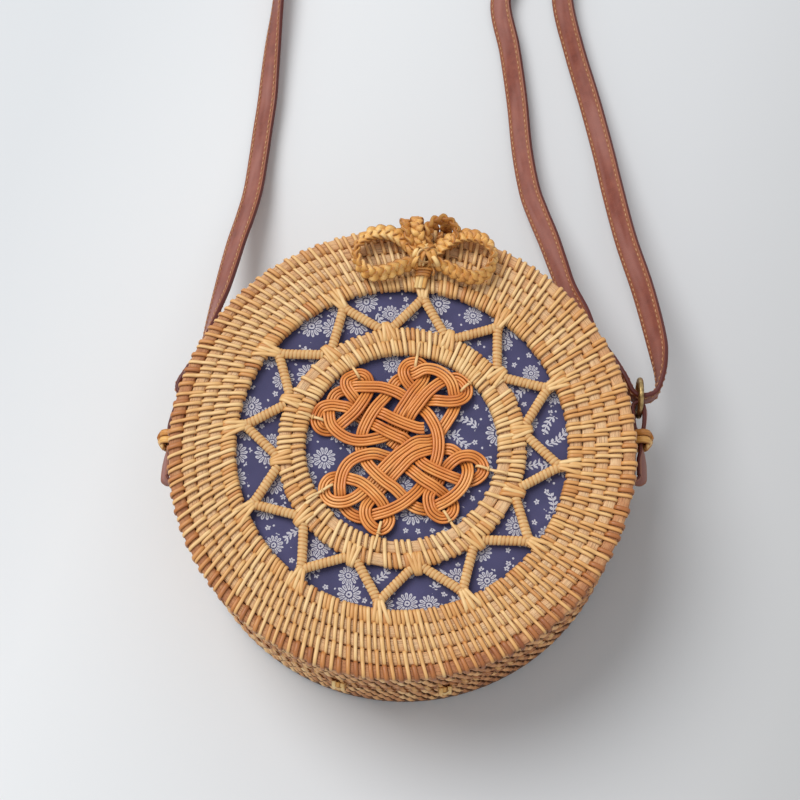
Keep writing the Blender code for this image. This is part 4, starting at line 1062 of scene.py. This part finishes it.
def make_back():
    """The flat back: concentric hoops bound in pairs by strips that lie flush with the table."""
    outside, _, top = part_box("back_panel")[1]
    radii = [outside - ROD_WIDTH / 2 - row * ROD_PITCH for row in range(int(outside / ROD_PITCH))]
    rods = Pile()
    section = rod_profile(ROD_WIDTH, top - BACK_RISE)
    for radius in radii:
        sweep_hoop(rods, radius, (top + BACK_RISE) / 2, section, 0.35)
    rods.piece("back_rods", SHADED_WALL_ROD_LOOK, "back_half", "rattan_wall", ["back_panel"])
    strips = Pile()
    way = [(share, -rise * 0.75) for share, rise in LONG_WAY]
    for row, (outer, inner) in enumerate(zip(radii, radii[1:])):
        count = max(round(FULL_TURN * inner / BACK_STRIP_PITCH), 5)
        for number in range(count):
            start = (number + 0.5 * (row % 2) + vary(0.06)) * FULL_TURN / count
            lay_strip(
                strips, way, inner_side(inner), outer_side(outer) - 0.4 * MM, start, BACK_SLANT, -STRIP_WIDTH * 0.95,
                0.7 * MM, 0.5 + vary(0.2), top=BACK_RISE + 0.15 * MM,
            )
    strips.piece("back_binding", WALL_LOOK, "back_half", "rattan_wall")
    button = Pile()
    turn = np.linspace(0, COIL_TURNS * FULL_TURN, 60)
    coil = polar(COIL_START + turn / FULL_TURN * COIL_GAP, turn, BACK_RISE)
    button.sweep(coil, outward(turn), oval(0.9 * MM, 1.3 * MM, 6), tone=0.5)
    button.piece("back_centre_coil", WALL_LOOK, "back_half", "rattan_wall")


# Braids, bow and closure

BRAID_STRANDS = 3
BRAID_STEP = 0.00045
# A strand's thickness, rise and twist in shares of its braid, and how much it swells at the braid's edges
STRAND_THICKNESS = 0.52
STRAND_LIFT = 0.32
STRAND_TWIST = 0.35
STRAND_SWELL = 0.12


def braid(pile, path, across, width, thick, period, tone):
    """A flat braid: each strand swings from edge to edge, on top as it comes in and below as it goes out."""
    path = np.asarray(path, float)
    ahead = travel(path)
    across = square(across, ahead)
    out = np.cross(ahead, across)
    along = lengths_along(path)
    width = np.broadcast_to(np.asarray(width, float), len(path))
    strip = width / 2
    sizes = np.stack((strip, np.full(len(path), thick * STRAND_THICKNESS)), axis=1)[:, None, :]
    section = oval(1.0, 1.0, STRAW_CORNERS, STRAW_SQUARENESS) * sizes
    for strand in range(BRAID_STRANDS):
        phase = FULL_TURN * (along / period + strand / BRAID_STRANDS)
        swing = np.sin(phase) * (width - strip) / 2
        lift = -np.sin(2 * phase) * thick * STRAND_LIFT
        line = path + across * swing[:, None] + out * lift[:, None]
        twist = across + out * (STRAND_TWIST * np.cos(2 * phase))[:, None]
        shades = tone + vary(0.06) + 0.16 * np.sin(phase * 1.7 + strand)
        pile.sweep(line, twist, section, tone=shades, swell=1 + STRAND_SWELL * np.cos(2 * phase))


BOW_LOOP_SHARES = (
    (0.10, 0.04), (0.34, 0.24), (0.58, 0.33), (0.82, 0.28), (0.97, 0.12), (1.0, -0.03),
    (0.92, -0.22), (0.74, -0.33), (0.52, -0.28), (0.32, -0.17), (0.10, -0.06),
)
BRAID_WIDTH = 0.0060
BRAID_THICKNESS = 0.0026
BRAID_PERIOD = 0.0112
BOW_BRAID_WIDTH = 0.0080
BOW_LEAN = math.radians(47)
BOW_FAR_LEAN = math.radians(78)
BOW_TILT = math.radians(4)
BOW_EYE_SHARE = 0.62
# Each turn of straw round the knot: its two directions, its reach along them and shift off them in mm, its tone
BOW_KNOT_WRAPS = (
    ((1, 0.1, 0.0), (0, 0.2, 1), 4.4, 3.1, 0.0, 0.55), ((0.9, 0.5, 0.1), (0, 0.1, 1), 4.9, 2.9, 0.8, 0.75),
    ((0.2, 1, 0.1), (0.1, 0, 1), 4.9, 3.2, -0.6, 0.95), ((0.7, -0.7, 0.2), (0.1, 0.2, 1), 4.9, 3.5, 0.3, 0.45),
    ((0.1, 0.9, 0.3), (1, 0, 0.3), 3.7, 3.6, 1.2, 0.7), ((1, 0.2, -0.3), (0.1, 1, 0.4), 4.2, 3.2, 2.2, 0.9),
    ((0.5, 0.8, 0.2), (-0.3, 0.2, 1), 5.0, 3.4, 1.1, 0.35), ((-0.6, 0.7, 0.3), (0.4, 0.4, 0.9), 4.6, 3.5, -1.2, 0.6),
)
# Each loose end: where it leaves the knot, its lean and length in mm, its tone
BOW_KNOT_CURLS = (
    (-3.0, 2.4, -1.4, 5.0, 0.85), (2.4, 2.0, 1.6, 4.6, 0.5), (-2.4, -1.6, -1.8, 4.4, 0.65), (2.8, -1.2, 2.2, 4.2, 0.8),
)
CURL_DROPS = ((0, 0, 0), (0.5, -0.3, 2.0), (1.2, -0.8, 1.4), (1.5, -1.0, -0.9))
TAIL_STRAWS = ((-1.8, 0.75), (-0.2, 0.9), (1.5, 0.55))
# Each lashing: its share of the way down the tail, its half width in mm, its tone
TAIL_LASHINGS = ((0.16, 3.4, 0.3), (0.34, 3.1, 0.14), (0.47, 2.8, 0.22))


def make_bow():
    """The bow's two braided loops, each leaning back on its far side, with its knot and tail."""
    low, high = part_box("bow_knot")
    centre = np.array([(low[0] + high[0]) / 2, (low[1] + high[1]) / 2, 0.0])
    for name, side in (("left", -1), ("right", 1)):
        node = f"bow_loop_{name}"
        box_low, box_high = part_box(node)
        reach = (box_high[0] - centre[0]) if side > 0 else (centre[0] - box_low[0])
        reach -= BRAID_THICKNESS
        tilt = BOW_TILT * side
        shares = np.array(BOW_LOOP_SHARES) * reach * (side, 1)
        flat = shares @ ((math.cos(tilt), math.sin(tilt)), (-math.sin(tilt), math.cos(tilt)))
        level = (box_low[2] + box_high[2]) / 2
        path = even(smooth(at_level(flat, 0) + centre + UP * level, 8), 0.5 * MM)
        inward = centre + (side * reach * BOW_EYE_SHARE, 0, 0) - path
        inward[:, 2] = 0
        tip = np.clip(np.abs(path[:, 0] - centre[0]) / reach, 0, 1) ** 8
        far_share = np.clip((path[:, 1] - centre[1]) / (0.24 * reach) + 0.4, 0, 1)
        lean = ((BOW_LEAN + (BOW_FAR_LEAN - BOW_LEAN) * far_share) * (1 - 0.75 * tip))[:, None]
        across = UP * np.cos(lean) + unit(inward) * np.sin(lean)
        pile = Pile()
        braid(pile, path, across, BOW_BRAID_WIDTH * (1 - 0.12 * tip), BRAID_THICKNESS, BRAID_PERIOD, 0.62)
        pile.piece(f"bow_braid_{name}", STRAW_LOOK, "lid", "straw_braid", [node])
    make_bow_knot(centre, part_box("bow_loop_right")[0][2])
    make_bow_tail(centre)


def make_bow_knot(centre, base):
    """A bundle of straw wound every way round the bow's middle, on a stem that goes down to the border."""
    pile = Pile()
    core = centre + (0, 1.0 * MM, base + 3.0 * MM)
    turn = turns(20)
    for first, second, reach, rise, shift, tone in BOW_KNOT_WRAPS:
        first, second = unit(np.array(first, float)), unit(np.array(second, float))
        axis = np.cross(first, second)
        ring = core + (first * (np.cos(turn) * reach)[:, None] + second * (np.sin(turn) * rise)[:, None]) * MM
        pile.sweep(
            ring + axis * shift * MM, axis, straw(2.6, 1.2), tone=tone + vary(0.08), closed=True,
            swell=1 + 0.2 * np.sin(turn * 3 + shift),
        )
    stem = [centre + UP * (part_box("bow_knot")[0][2] - 0.4 * MM), core]
    pile.sweep(stem, (1, 0, 0), oval(4.2 * MM, 4.2 * MM, 10), tone=0.3)
    for x, y, lean, length, tone in BOW_KNOT_CURLS:
        points = smooth(core + (np.array(CURL_DROPS) * (lean, length, 1) + (x, y, 1.6)) * MM, 4)
        pile.sweep(points, (1, 0.3, 0.2), straw(2.5, 0.8), tone=tone, swell=np.linspace(0.8, 1, len(points)))
    pile.piece("bow_knot_straw", STRAW_LOOK, "lid", "straw_braid", ["bow_knot"])


def make_bow_tail(centre):
    """The tail that runs from the knot down to the star's point: a folded end and dark lashings."""
    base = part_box("bow_tail")[0][2]
    tip = np.array((centre[0] - 1.6 * MM, BORDER_RODS[-1] - ROD_WIDTH * 0.55, base + 0.2 * MM))
    start = centre + (0.2 * MM, -3.2 * MM, base + 2.4 * MM)
    way = [start, part_way(start, tip, 0.4) + UP * 1.3 * MM, part_way(start, tip, 0.7) + UP * 0.9 * MM, tip]
    path = even(smooth(way, 8), 0.4 * MM)
    pile = Pile()
    for offset, tone in TAIL_STRAWS:
        pile.sweep(path + (offset * MM, 0, 0), (1, 0, 0), straw(2.1, 1.3), tone=tone)
    turn = turns(14)
    for share, width, tone in TAIL_LASHINGS:
        ring = np.stack((np.cos(turn) * width, turn * 0, np.sin(turn) * 1.5), axis=1) * MM
        ring += path[int(share * (len(path) - 1))]
        pile.sweep(ring, (0, 1, 0), straw(1.5, 0.9), tone=tone + vary(0.05), closed=True)
    curl = np.linspace(-0.6, 4.4, 14)
    fold = np.stack((1.9 + np.cos(curl) * 2.4, np.sin(curl) * 2.7 - 6.0, 3.0 + curl * 0.12), axis=1) * MM
    pile.sweep(fold + centre + UP * base, UP, straw(2.8, 1.0), tone=0.5, swell=np.linspace(1, 0.6, 14))
    pile.piece("bow_tail_straw", STRAW_LOOK, "lid", "straw_braid", ["bow_tail"])


# The closure's braids in millimetres: x from the bow's middle, y, z, then their width and their side's lean
CLOSURE_WAYS = (
    (
        (-9.0, 101.9, 79.0, 6.0, 0.1), (-9.3, 101.2, 83.6, 6.4, 0.35), (-8.8, 98.0, 86.6, 6.6, 0.7),
        (-7.6, 94.0, 88.0, 6.6, 0.7), (-5.6, 90.4, 87.4, 6.0, 0.5), (-3.4, 87.6, 85.8, 5.0, 0.3),
    ),
    (
        (-4.2, 102.0, 79.0, 6.4, 0.0), (-4.3, 101.9, 85.0, 6.6, 0.0), (-4.2, 98.8, 89.4, 6.8, -0.05),
        (-3.6, 94.2, 90.8, 6.6, -0.1), (-2.2, 90.2, 89.2, 5.6, -0.1), (-1.0, 87.6, 86.4, 4.6, 0.0),
    ),
    (
        (2.0, 88.2, 86.0, 6.0, 1.3), (0.8, 92.6, 87.6, 6.8, 1.25), (1.4, 97.4, 88.2, 7.2, 1.2),
        (5.0, 100.6, 88.2, 7.4, 1.2), (9.6, 101.2, 87.4, 7.4, 1.25), (13.4, 98.2, 86.2, 7.0, 1.3),
        (13.6, 93.4, 84.8, 6.4, 1.35), (10.4, 90.2, 84.4, 5.6, 1.35),
    ),
    ((9.2, 101.9, 79.0, 6.4, 0.0), (9.2, 101.9, 82.0, 6.4, 0.2), (9.4, 101.2, 86.2, 6.4, 0.6)),
)
CLASP_TURN_RADIUS = 0.0038
CLASP_END_WAY = ((6.6, 12.0, 3.6), (5.0, 7.0, 1.8))
CLASP_RISE = 0.0013
CLASP_BRAID = (0.0024, 0.0022, 0.0060)
TETHER_BRAIDS = (-0.75, -0.25, 0.25, 0.75)
TETHER_LEVELS = range(22, 81)
# Each band round the tether: its level in mm and its tone
TETHER_BANDS = ((27, 0.3), (29, 0.36), (50, 0.4), (52, 0.3), (74, 0.35))


def make_closure():
    """The back half's braided loop: up over the rim, round the bow's stem and down again."""
    low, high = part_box("clasp_tether")
    middle_x, outside_y = (low[0] + high[0]) / 2, (low[1] + high[1]) / 2
    reach = (high[0] - low[0]) / 2 / MM
    pile = Pile()
    for way in CLOSURE_WAYS:
        route = np.array(way) * (MM, MM, MM, MM, 1) + (middle_x, 0, 0, 0, 0)
        fine = even(smooth(route, 10), BRAID_STEP)
        side = np.array((1.0, 0, 0)) * np.cos(fine[:, 4:]) - UP * np.sin(fine[:, 4:])
        braid(pile, fine[:, :3], side, fine[:, 3], BRAID_THICKNESS, BRAID_PERIOD, 0.46)
    turn = np.linspace(-0.25 * math.pi, 1.25 * math.pi, 16)
    stem = np.array((middle_x, middle("bow_knot")[1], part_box("bow_knot")[0][2] + CLASP_RISE))
    hook = np.stack((np.cos(turn), -np.sin(turn), 0 * turn), axis=1) * CLASP_TURN_RADIUS
    near = np.array(CLASP_END_WAY) * MM
    far = near[::-1] * (-1, 1, 1)
    loop = even(smooth(stem + np.vstack((near, hook, far)), 4), BRAID_STEP)
    braid(pile, loop, UP, *CLASP_BRAID, 0.4)
    pile.piece("closure_braid", STRAW_LOOK, "clasp", "straw_braid", ["clasp_loop"])
    tether = Pile()
    for share in TETHER_BRAIDS:
        points = [(middle_x + share * reach * MM, outside_y - 0.1 * MM, z * MM) for z in TETHER_LEVELS]
        braid(tether, points, (1, 0, 0), BRAID_WIDTH, BRAID_THICKNESS * 0.8, BRAID_PERIOD, 0.45)
    for level, tone in TETHER_BANDS:
        spots = (-reach - 0.6, -reach, -reach / 2, 0, reach / 2, reach, reach + 0.6)
        points = [
            (middle_x + x * MM, outside_y + (1.3 if abs(x) <= reach else -0.5) * MM, level * MM) for x in spots
        ]
        tether.sweep(points, UP, straw(1.6, 0.7), tone=tone)
    tether.piece("closure_tether_braid", STRAW_LOOK, "back_half", "straw_braid", ["clasp_tether"])


# Hinge ties, side loops, tabs and rings

HINGE_STRAW_WIDTH = 0.0052
# In millimetres: out from the rim and up from the seam
HINGE_WAY = ((1.5, -9.5), (-0.9, -9.0), (-1.9, -6), (-2.2, -1), (-1.7, 1.9), (-0.2, 2.9))
# Each cross band: its level from the seam in mm and its tone
HINGE_BANDS = ((1.2, 0.95), (-1.2, 0.8), (-4.6, 0.5))
# Each side loop's bands: offset and width in mm, and tone
SIDE_BANDS = ((-1.7, 3.4, 0.62), (1.6, 3.2, 0.42))


def make_hinges():
    """Straw wound several times round the body's rim and folded over the seam."""
    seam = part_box("body_rim")[1][2] + ROD_GAP / 2
    rim = outer_edge("body_rim")
    for name in ("left", "right"):
        node = f"hinge_tie_{name}"
        centre = middle(node)[0]
        pile = Pile()
        reach = HINGE_STRAW_WIDTH / 2
        for number in range(3):
            x = centre + (number - 1) * reach * 0.7
            way = smooth(np.array(HINGE_WAY) * MM + (-math.sqrt(rim**2 - x * x), seam), 4)
            path = np.column_stack((np.full(len(way), x) + vary(0.3) * MM, way))
            pile.sweep(path, (1, 0, 0), straw(2.2, 1.4), tone=0.72 + vary(0.2))
        share = np.linspace(-1, 1, 12)
        for lift, tone in HINGE_BANDS:
            xs = share * reach + centre
            bulge = np.sin(np.linspace(0, math.pi, 12)) ** 0.5 * 2.9 * MM
            level = seam + (lift + 0.7 * share) * MM
            path = np.column_stack((xs, -np.sqrt(rim**2 - xs**2) - bulge + 0.4 * MM, level))
            pile.sweep(path, UP, straw(2.0, 1.0), tone=tone + vary(0.1))
        pile.piece(f"hinge_winding_{name}", STRAW_LOOK, "back_half", "straw_braid", [node])


def make_side_loops():
    """Folded straw bands that hold the leather tabs to the body."""
    rim_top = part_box("body_rim")[1][2] - 0.6 * MM
    for name, side, loop_y, _ in SIDES:
        node = f"side_loop_{name}"
        low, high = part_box(node)
        level = middle(node)[2]
        near, far = sorted(side * x - SIDE_X for x in (low[0], high[0]))
        far += 0.5 * MM
        half = (high[2] - low[2]) / 2
        pile = Pile()
        for offset, width, tone in SIDE_BANDS:
            outline = [
                (near, level - half * 0.9), (0, level - half + 0.9 * MM), (far - 1.6 * MM, level - half * 0.75),
                (far - 1.0 * MM, level), (far - 1.6 * MM, level + half * 0.75), (0, level + half - 0.9 * MM),
                (near, min(level + half * 0.9, rim_top)),
            ]
            route = smooth([(side * x, (offset + k * 0.15) * MM, z) for k, (x, z) in enumerate(outline)], 5)
            pile.sweep(on_side(route, side, loop_y, 0), (0, 1, 0), straw(width, 1.5), tone=tone)
        for cross in (-1, 1):
            path = smooth([
                (side * (far - 2.4 * MM), -cross * 3.6 * MM, level + 4.4 * MM),
                (side * (far + 0.1 * MM), 0, level + 2.2 * MM),
                (side * (far - 2.4 * MM), cross * 3.8 * MM, level + 0.5 * MM),
            ], 5)
            pile.sweep(on_side(path, side, loop_y, 0), (0, 0.6, 0.8), straw(3.4, 1.1), tone=0.6 + 0.2 * cross)
        pile.piece(f"side_loop_straw_{name}", STRAW_LOOK, "back_half", "straw_braid", [node])


TAB_PLY = 0.0019
TAB_PINCH_GAP = 0.00015
TAB_EYE_HALF = 0.0035
TAB_TOP_REACH = 0.0179
TAB_TILT = math.radians(12)
TAIL_TILT = math.radians(25)
TAIL_SHIFT = 0.0010
TAB_WIDTH = 0.010


def make_tabs():
    """Leather folded round the ring, pinched in the side loop and opened again below it."""
    half = TAB_EYE_HALF - TAB_PLY / 2
    pinch = TAB_PLY / 2 + TAB_PINCH_GAP
    bottom, top = TAB_PLY / 2 - TAB_TAIL_REACH, TAB_TOP_REACH - TAB_PLY / 2
    loop = [
        (0, bottom), (half * 0.75, bottom + half * 0.3), (half, bottom + half * 1.1), (half * 0.8, -6.0 * MM),
        (pinch, -2.6 * MM), (pinch, 2.6 * MM), (half * 0.85, 6.6 * MM), (half, top - half * 1.1),
        (half * 0.72, top - half * 0.3), (0, top),
    ]
    flat = smooth(loop + [(-x, y) for x, y in loop[-2:0:-1]], 6, closed=True)
    share = np.clip(-2 * flat[:, 1] / TAB_TAIL_REACH, 0, 1)
    tilt = np.where(flat[:, 1] > 0, TAB_TILT * np.clip(flat[:, 1] / top, 0, 1), TAIL_TILT * share)
    for name, side, loop_y, lean in SIDES:
        node = f"tab_{name}"
        path = on_side(at_level(flat, middle(node)[2]), side, loop_y, lean)
        path[:, 0] -= side * TAIL_SHIFT * share
        across = np.stack((-side * np.sin(tilt), 0 * tilt, np.cos(tilt)), axis=1)
        tab = Pile()
        tab.sweep(path, across, oval(TAB_WIDTH, TAB_PLY, 12, 0.3), closed=True)
        tab.piece(f"leather_tab_{name}", LEATHER_LOOK, "back_half", "strap_leather", [node])


RING_RADIUS = 0.00825
RING_WIRE_RADIUS = 0.00125


def make_rings():
    """Round rings of brass wire, with the wire's ends met in a shallow seam."""
    turn = turns(72)
    seam = 1 - 0.10 * np.exp(-(((turn - 4.4) / 0.06) ** 2))
    for name, side, loop_y, lean in SIDES:
        node = f"ring_{name}"
        circle = np.stack((turn * 0, RING_REACH + np.cos(turn) * RING_RADIUS, np.sin(turn) * RING_RADIUS), axis=1)
        circle[:, 2] += middle(node)[2]
        ring = Pile()
        ring.sweep(
            on_side(circle, side, loop_y, lean), (math.cos(lean), math.sin(lean), 0),
            oval(2 * RING_WIRE_RADIUS, 2 * RING_WIRE_RADIUS, 16), closed=True, swell=seam,
        )
        ring.piece(f"brass_ring_{name}", BRASS_LOOK, node, "old_brass", [node])


# Printed cotton

FLOWER_CELLS = 84.0
FLOWER_REACH = 0.0049
FLOWER_PETALS = 13
LEAF_SPACING = 0.0021
LEAF_REACH = 0.0019
STEM_HALF = 0.00022
SMALL_CELLS = 185.0
SMALL_REACH = 0.00125
DOT_REACH = 0.00050
SMALL_PETALS = 5


def cell_place(look, place, scale, randomness):
    """Distance and turn of a point from the middle of its cell, and the cell's three random shares."""
    inputs = {"Vector": place, "Scale": scale, "Randomness": randomness}
    cells = look.node("ShaderNodeTexVoronoi", inputs, voronoi_dimensions="2D").node
    offset = look.node("ShaderNodeVectorMath", {0: place, 1: cells.outputs["Position"]}, operation="SUBTRACT")
    x, y, _ = look.parts(offset)
    shares = look.node("ShaderNodeSeparateColor", {0: cells.outputs["Color"]}).node
    reach = look.math("SQRT", look.plus(look.times(x, x), look.times(y, y)))
    turn = look.plus(look.math("ARCTAN2", y, x), look.times(shares.outputs[0], FULL_TURN))
    return reach, turn, shares.outputs[0], shares.outputs[1], shares.outputs[2]


def both(look, *masks):
    mask = masks[0]
    for other in masks[1:]:
        mask = look.times(mask, other)
    return mask


def less(look, a, b):
    return look.math("LESS_THAN", a, b)


def more(look, a, b):
    return look.math("GREATER_THAN", a, b)


def daisy(look, reach, turn, size):
    """A round flower: slit petals round a ringed middle."""
    wave = look.size(look.math("COSINE", look.times(turn, FLOWER_PETALS / 2)))
    share = look.math("DIVIDE", reach, size)
    edge = look.line(wave, 0.3, 0.68)
    petals = both(look, less(look, share, edge), more(look, wave, 0.42), more(look, share, 0.37))
    slit = both(look, more(look, wave, 0.965), more(look, share, 0.52), less(look, share, 0.82))
    heart = both(look, less(look, share, 0.26), more(look, share, 0.10))
    return look.plus(look.minus(petals, slit), heart)


def sprig(look, reach, turn, size):
    """A bent stem with pairs of leaves."""
    along = look.times(reach, look.math("COSINE", turn))
    across = look.times(reach, look.math("SINE", turn))
    bend = look.times(look.times(along, along), 55.0)
    off = look.size(look.minus(across, bend))
    inside = less(look, look.size(along), size)
    stem = both(look, less(look, off, STEM_HALF), inside)
    row = look.minus(look.math("DIVIDE", along, LEAF_SPACING), look.math("DIVIDE", off, LEAF_REACH * 1.6))
    spot = look.size(look.minus(look.math("FRACT", row), 0.5))
    share = look.math("DIVIDE", off, LEAF_REACH)
    width = look.times(look.times(share, look.minus(1.05, share)), 1.15)
    leaves = both(look, less(look, spot, width), less(look, off, LEAF_REACH), inside)
    return look.math("MAXIMUM", stem, leaves)


def cotton_look():
    """Indigo plain weave printed with small pale flowers, sprigs and dots."""
    look = Look("printed_cotton", 0.85)
    flat = look.node("ShaderNodeAttribute", {}, "Vector", attribute_name="grain")
    wobble = look.node("ShaderNodeTexNoise", {"Vector": flat, "Scale": 420.0, "Detail": 1.0}, "Color")
    wobble = look.node("ShaderNodeVectorMath", {0: wobble, 1: (0.5, 0.5, 0.5)}, operation="SUBTRACT")
    wobble = look.node("ShaderNodeVectorMath", {0: wobble, 1: (0.0009, 0.0009, 0.0)}, operation="MULTIPLY")
    place = look.node("ShaderNodeVectorMath", {0: flat, 1: wobble}, operation="ADD")
    reach, turn, _, size_share, kind = cell_place(look, place, FLOWER_CELLS, 0.72)
    size = look.times(look.line(size_share, 0.4, 0.78), FLOWER_REACH)
    is_daisy = less(look, kind, 0.56)
    flowers = look.times(is_daisy, daisy(look, reach, turn, size))
    sprigs = look.times(look.minus(1.0, is_daisy), sprig(look, reach, turn, size))
    clear = more(look, reach, look.times(size, 1.12))
    small_reach, small_turn, pick, _, _ = cell_place(look, place, SMALL_CELLS, 0.9)
    wave = look.size(look.math("COSINE", look.times(small_turn, SMALL_PETALS / 2)))
    edge = look.times(look.line(wave, 0.55, 0.45), SMALL_REACH)
    heart = more(look, small_reach, SMALL_REACH * 0.22)
    floret = both(look, less(look, small_reach, edge), heart, more(look, pick, 0.62))
    dot = both(look, less(look, small_reach, DOT_REACH), less(look, pick, 0.5))
    small = look.times(clear, look.math("MAXIMUM", floret, dot))
    ink = look.math("MINIMUM", look.math("MAXIMUM", look.plus(flowers, sprigs), small), 1.0)
    fade = look.noise(flat, 2600.0, 2.0)
    shade = look.noise(flat, 60.0, 2.0)
    ground = look.ramp(shade, (0.3, (0.032, 0.030, 0.086)), (0.7, (0.058, 0.053, 0.140)))
    ground = look.mix(look.times(fade, 0.32), ground, (0.115, 0.115, 0.23))
    pale = look.ramp(fade, (0.25, (0.32, 0.31, 0.38)), (0.6, (0.62, 0.61, 0.66)))
    look.set("Base Color", look.mix(ink, ground, pale))
    look.bump(look.noise(flat, 3000.0, 1.0), 0.00008, 0.7)
    return look.material


COTTON_LOOK = cotton_look()
CLOTH_TURNS = 180
CLOTH_THICKNESS = 0.0005
CLOTH_SLACK = 0.00022


def make_lining(name, node, body, closed_level, open_level):
    """A cup of cloth inside one half: a disc and a band, with the disc slack by a hair between its hoops."""
    outside = outer_edge(node)
    inward = 1 if open_level > closed_level else -1
    inner_level = closed_level + inward * CLOTH_THICKNESS
    edge = 0.02 * MM
    profile = [(r, closed_level) for r in np.linspace(edge, outside - edge, 48)]
    profile += [(outside, z) for z in np.linspace(closed_level, open_level, 10)]
    profile += [(outside - CLOTH_THICKNESS, z) for z in np.linspace(open_level, inner_level, 10)]
    profile += [(r, inner_level) for r in np.linspace(outside - CLOTH_THICKNESS - edge, edge, 48)]
    profile = np.array(profile)[::inward]
    angle = turns(CLOTH_TURNS)[:, None]
    radius, level = profile[:, 0][None, :], profile[:, 1][None, :]
    slack = np.sin(radius * 310 + 2 * np.sin(angle * 3)) * np.sin(angle * 5 + radius * 120) * CLOTH_SLACK
    on_disc = np.abs(level - closed_level) < CLOTH_THICKNESS * 1.01
    level = level + np.where(on_disc, (np.abs(slack) * 0.8) * inward, 0.0)
    points = polar(radius, angle, level)
    flat = np.where(
        (on_disc & (radius < outside - CLOTH_THICKNESS / 2))[..., None], points * (1, 1, 0),
        np.stack(np.broadcast_arrays(angle * outside, level, 0 * level), axis=-1),
    )
    here = np.arange(points[..., 0].size).reshape(CLOTH_TURNS, len(profile))
    along, over = np.roll(here, -1, axis=0), np.roll(here, -1, axis=1)
    quads = np.stack((here, along, np.roll(along, -1, axis=1), over), axis=-1).reshape(-1, 4)
    cup = add_piece(
        name, points.reshape(-1, 3), quads.tolist(), COTTON_LOOK, body, [node], [flat.reshape(-1, 3)]
    )


def make_linings():
    lid_low, lid_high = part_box("lid_lining")
    body_low, body_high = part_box("body_lining")
    make_lining("lid_cloth", "lid_lining", "lid", lid_high[2], lid_low[2])
    make_lining("body_cloth", "body_lining", "back_half", body_low[2], body_high[2])


# Surroundings

FLOOR_REACH = 3.0
SUN_DIRECTION = (0.52, -0.40, -1.0)
SUN_STRENGTH = 2.03
SUN_WIDTH = math.radians(36)
SKY_LEVEL = 0.54
SKY_COLOUR = (0.97, 0.985, 1.0, 1)
SEEN_COLOUR = (0.86, 0.86, 0.8772, 1)


def make_floor():
    """A pale table top with painted light and shade: lighter towards the upper left, darker towards the lower right.
    """
    mesh = bpy.data.meshes.new("floor")
    corners = [(x * FLOOR_REACH, y * FLOOR_REACH, -0.0002) for x, y in ((-1, -1), (1, -1), (1, 1), (-1, 1))]
    mesh.from_pydata(corners, [], [(0, 1, 2, 3)])
    floor = bpy.data.objects.new("floor", mesh)
    bpy.context.scene.collection.objects.link(floor)
    look = Look("pale_table", 0.9)
    x, y, _ = look.parts(look.place())
    # Painted light and shade: the table's colour falls off from the upper left to the lower right.
    slope = look.line(y, 0.35, look.line(x, -1.15, 0.55))
    colour = look.ramp(
        slope, (0.2, (0.465, 0.47, 0.475)), (0.31, (0.54, 0.545, 0.55)), (0.46, (0.66, 0.67, 0.685)),
        (0.62, (0.745, 0.76, 0.775)), (0.72, (0.80, 0.815, 0.83)), (0.84, (0.73, 0.75, 0.77)),
    )
    look.set("Base Color", colour)
    look.shader.inputs["Specular IOR Level"].default_value = 0.1
    mesh.materials.append(look.material)


def make_light():
    """A broad soft sun, and a sky whose plain colour is lighter where it is seen than where it lights."""
    lamp = bpy.data.lights.new("window_light", "SUN")
    lamp.energy = SUN_STRENGTH
    lamp.angle = SUN_WIDTH
    sun = bpy.data.objects.new("window_light", lamp)
    sun.rotation_euler = Vector(SUN_DIRECTION).to_track_quat("-Z", "Y").to_euler()
    bpy.context.scene.collection.objects.link(sun)
    world = bpy.data.worlds.new("room")
    bpy.context.scene.world = world
    world.use_nodes = True
    nodes, links = world.node_tree.nodes, world.node_tree.links
    light = nodes["Background"]
    light.inputs["Color"].default_value = SKY_COLOUR
    light.inputs["Strength"].default_value = SKY_LEVEL
    seen = nodes.new("ShaderNodeBackground")
    seen.inputs["Color"].default_value = SEEN_COLOUR
    rays = nodes.new("ShaderNodeLightPath")
    straight = rays.outputs["Is Camera Ray"]
    for kind in ("Is Glossy Ray", "Is Transmission Ray"):
        either = nodes.new("ShaderNodeMath")
        either.operation = "MAXIMUM"
        links.new(straight, either.inputs[0])
        links.new(rays.outputs[kind], either.inputs[1])
        straight = either.outputs[0]
    choice = nodes.new("ShaderNodeMixShader")
    for place, value in enumerate((straight, light.outputs[0], seen.outputs[0])):
        links.new(value, choice.inputs[place])
    links.new(choice.outputs[0], nodes["World Output"].inputs["Surface"])


bpy.context.scene.view_settings.view_transform = "Standard"
make_camera()
leather, thread, strap_path = make_strap()
keeper = make_keeper()
make_floor()
make_light()
make_rods()
make_border_binding()
make_ring_binding()
make_spokes()
make_knot()
make_knot_ties()
make_wall("lid_wall", "lid")
make_wall("body_wall", "back_half")
make_rim("lid_rim", "lid")
make_rim("body_rim", "back_half")
make_back()
make_bow()
make_closure()
make_hinges()
make_side_loops()
make_tabs()
make_rings()
make_linings()
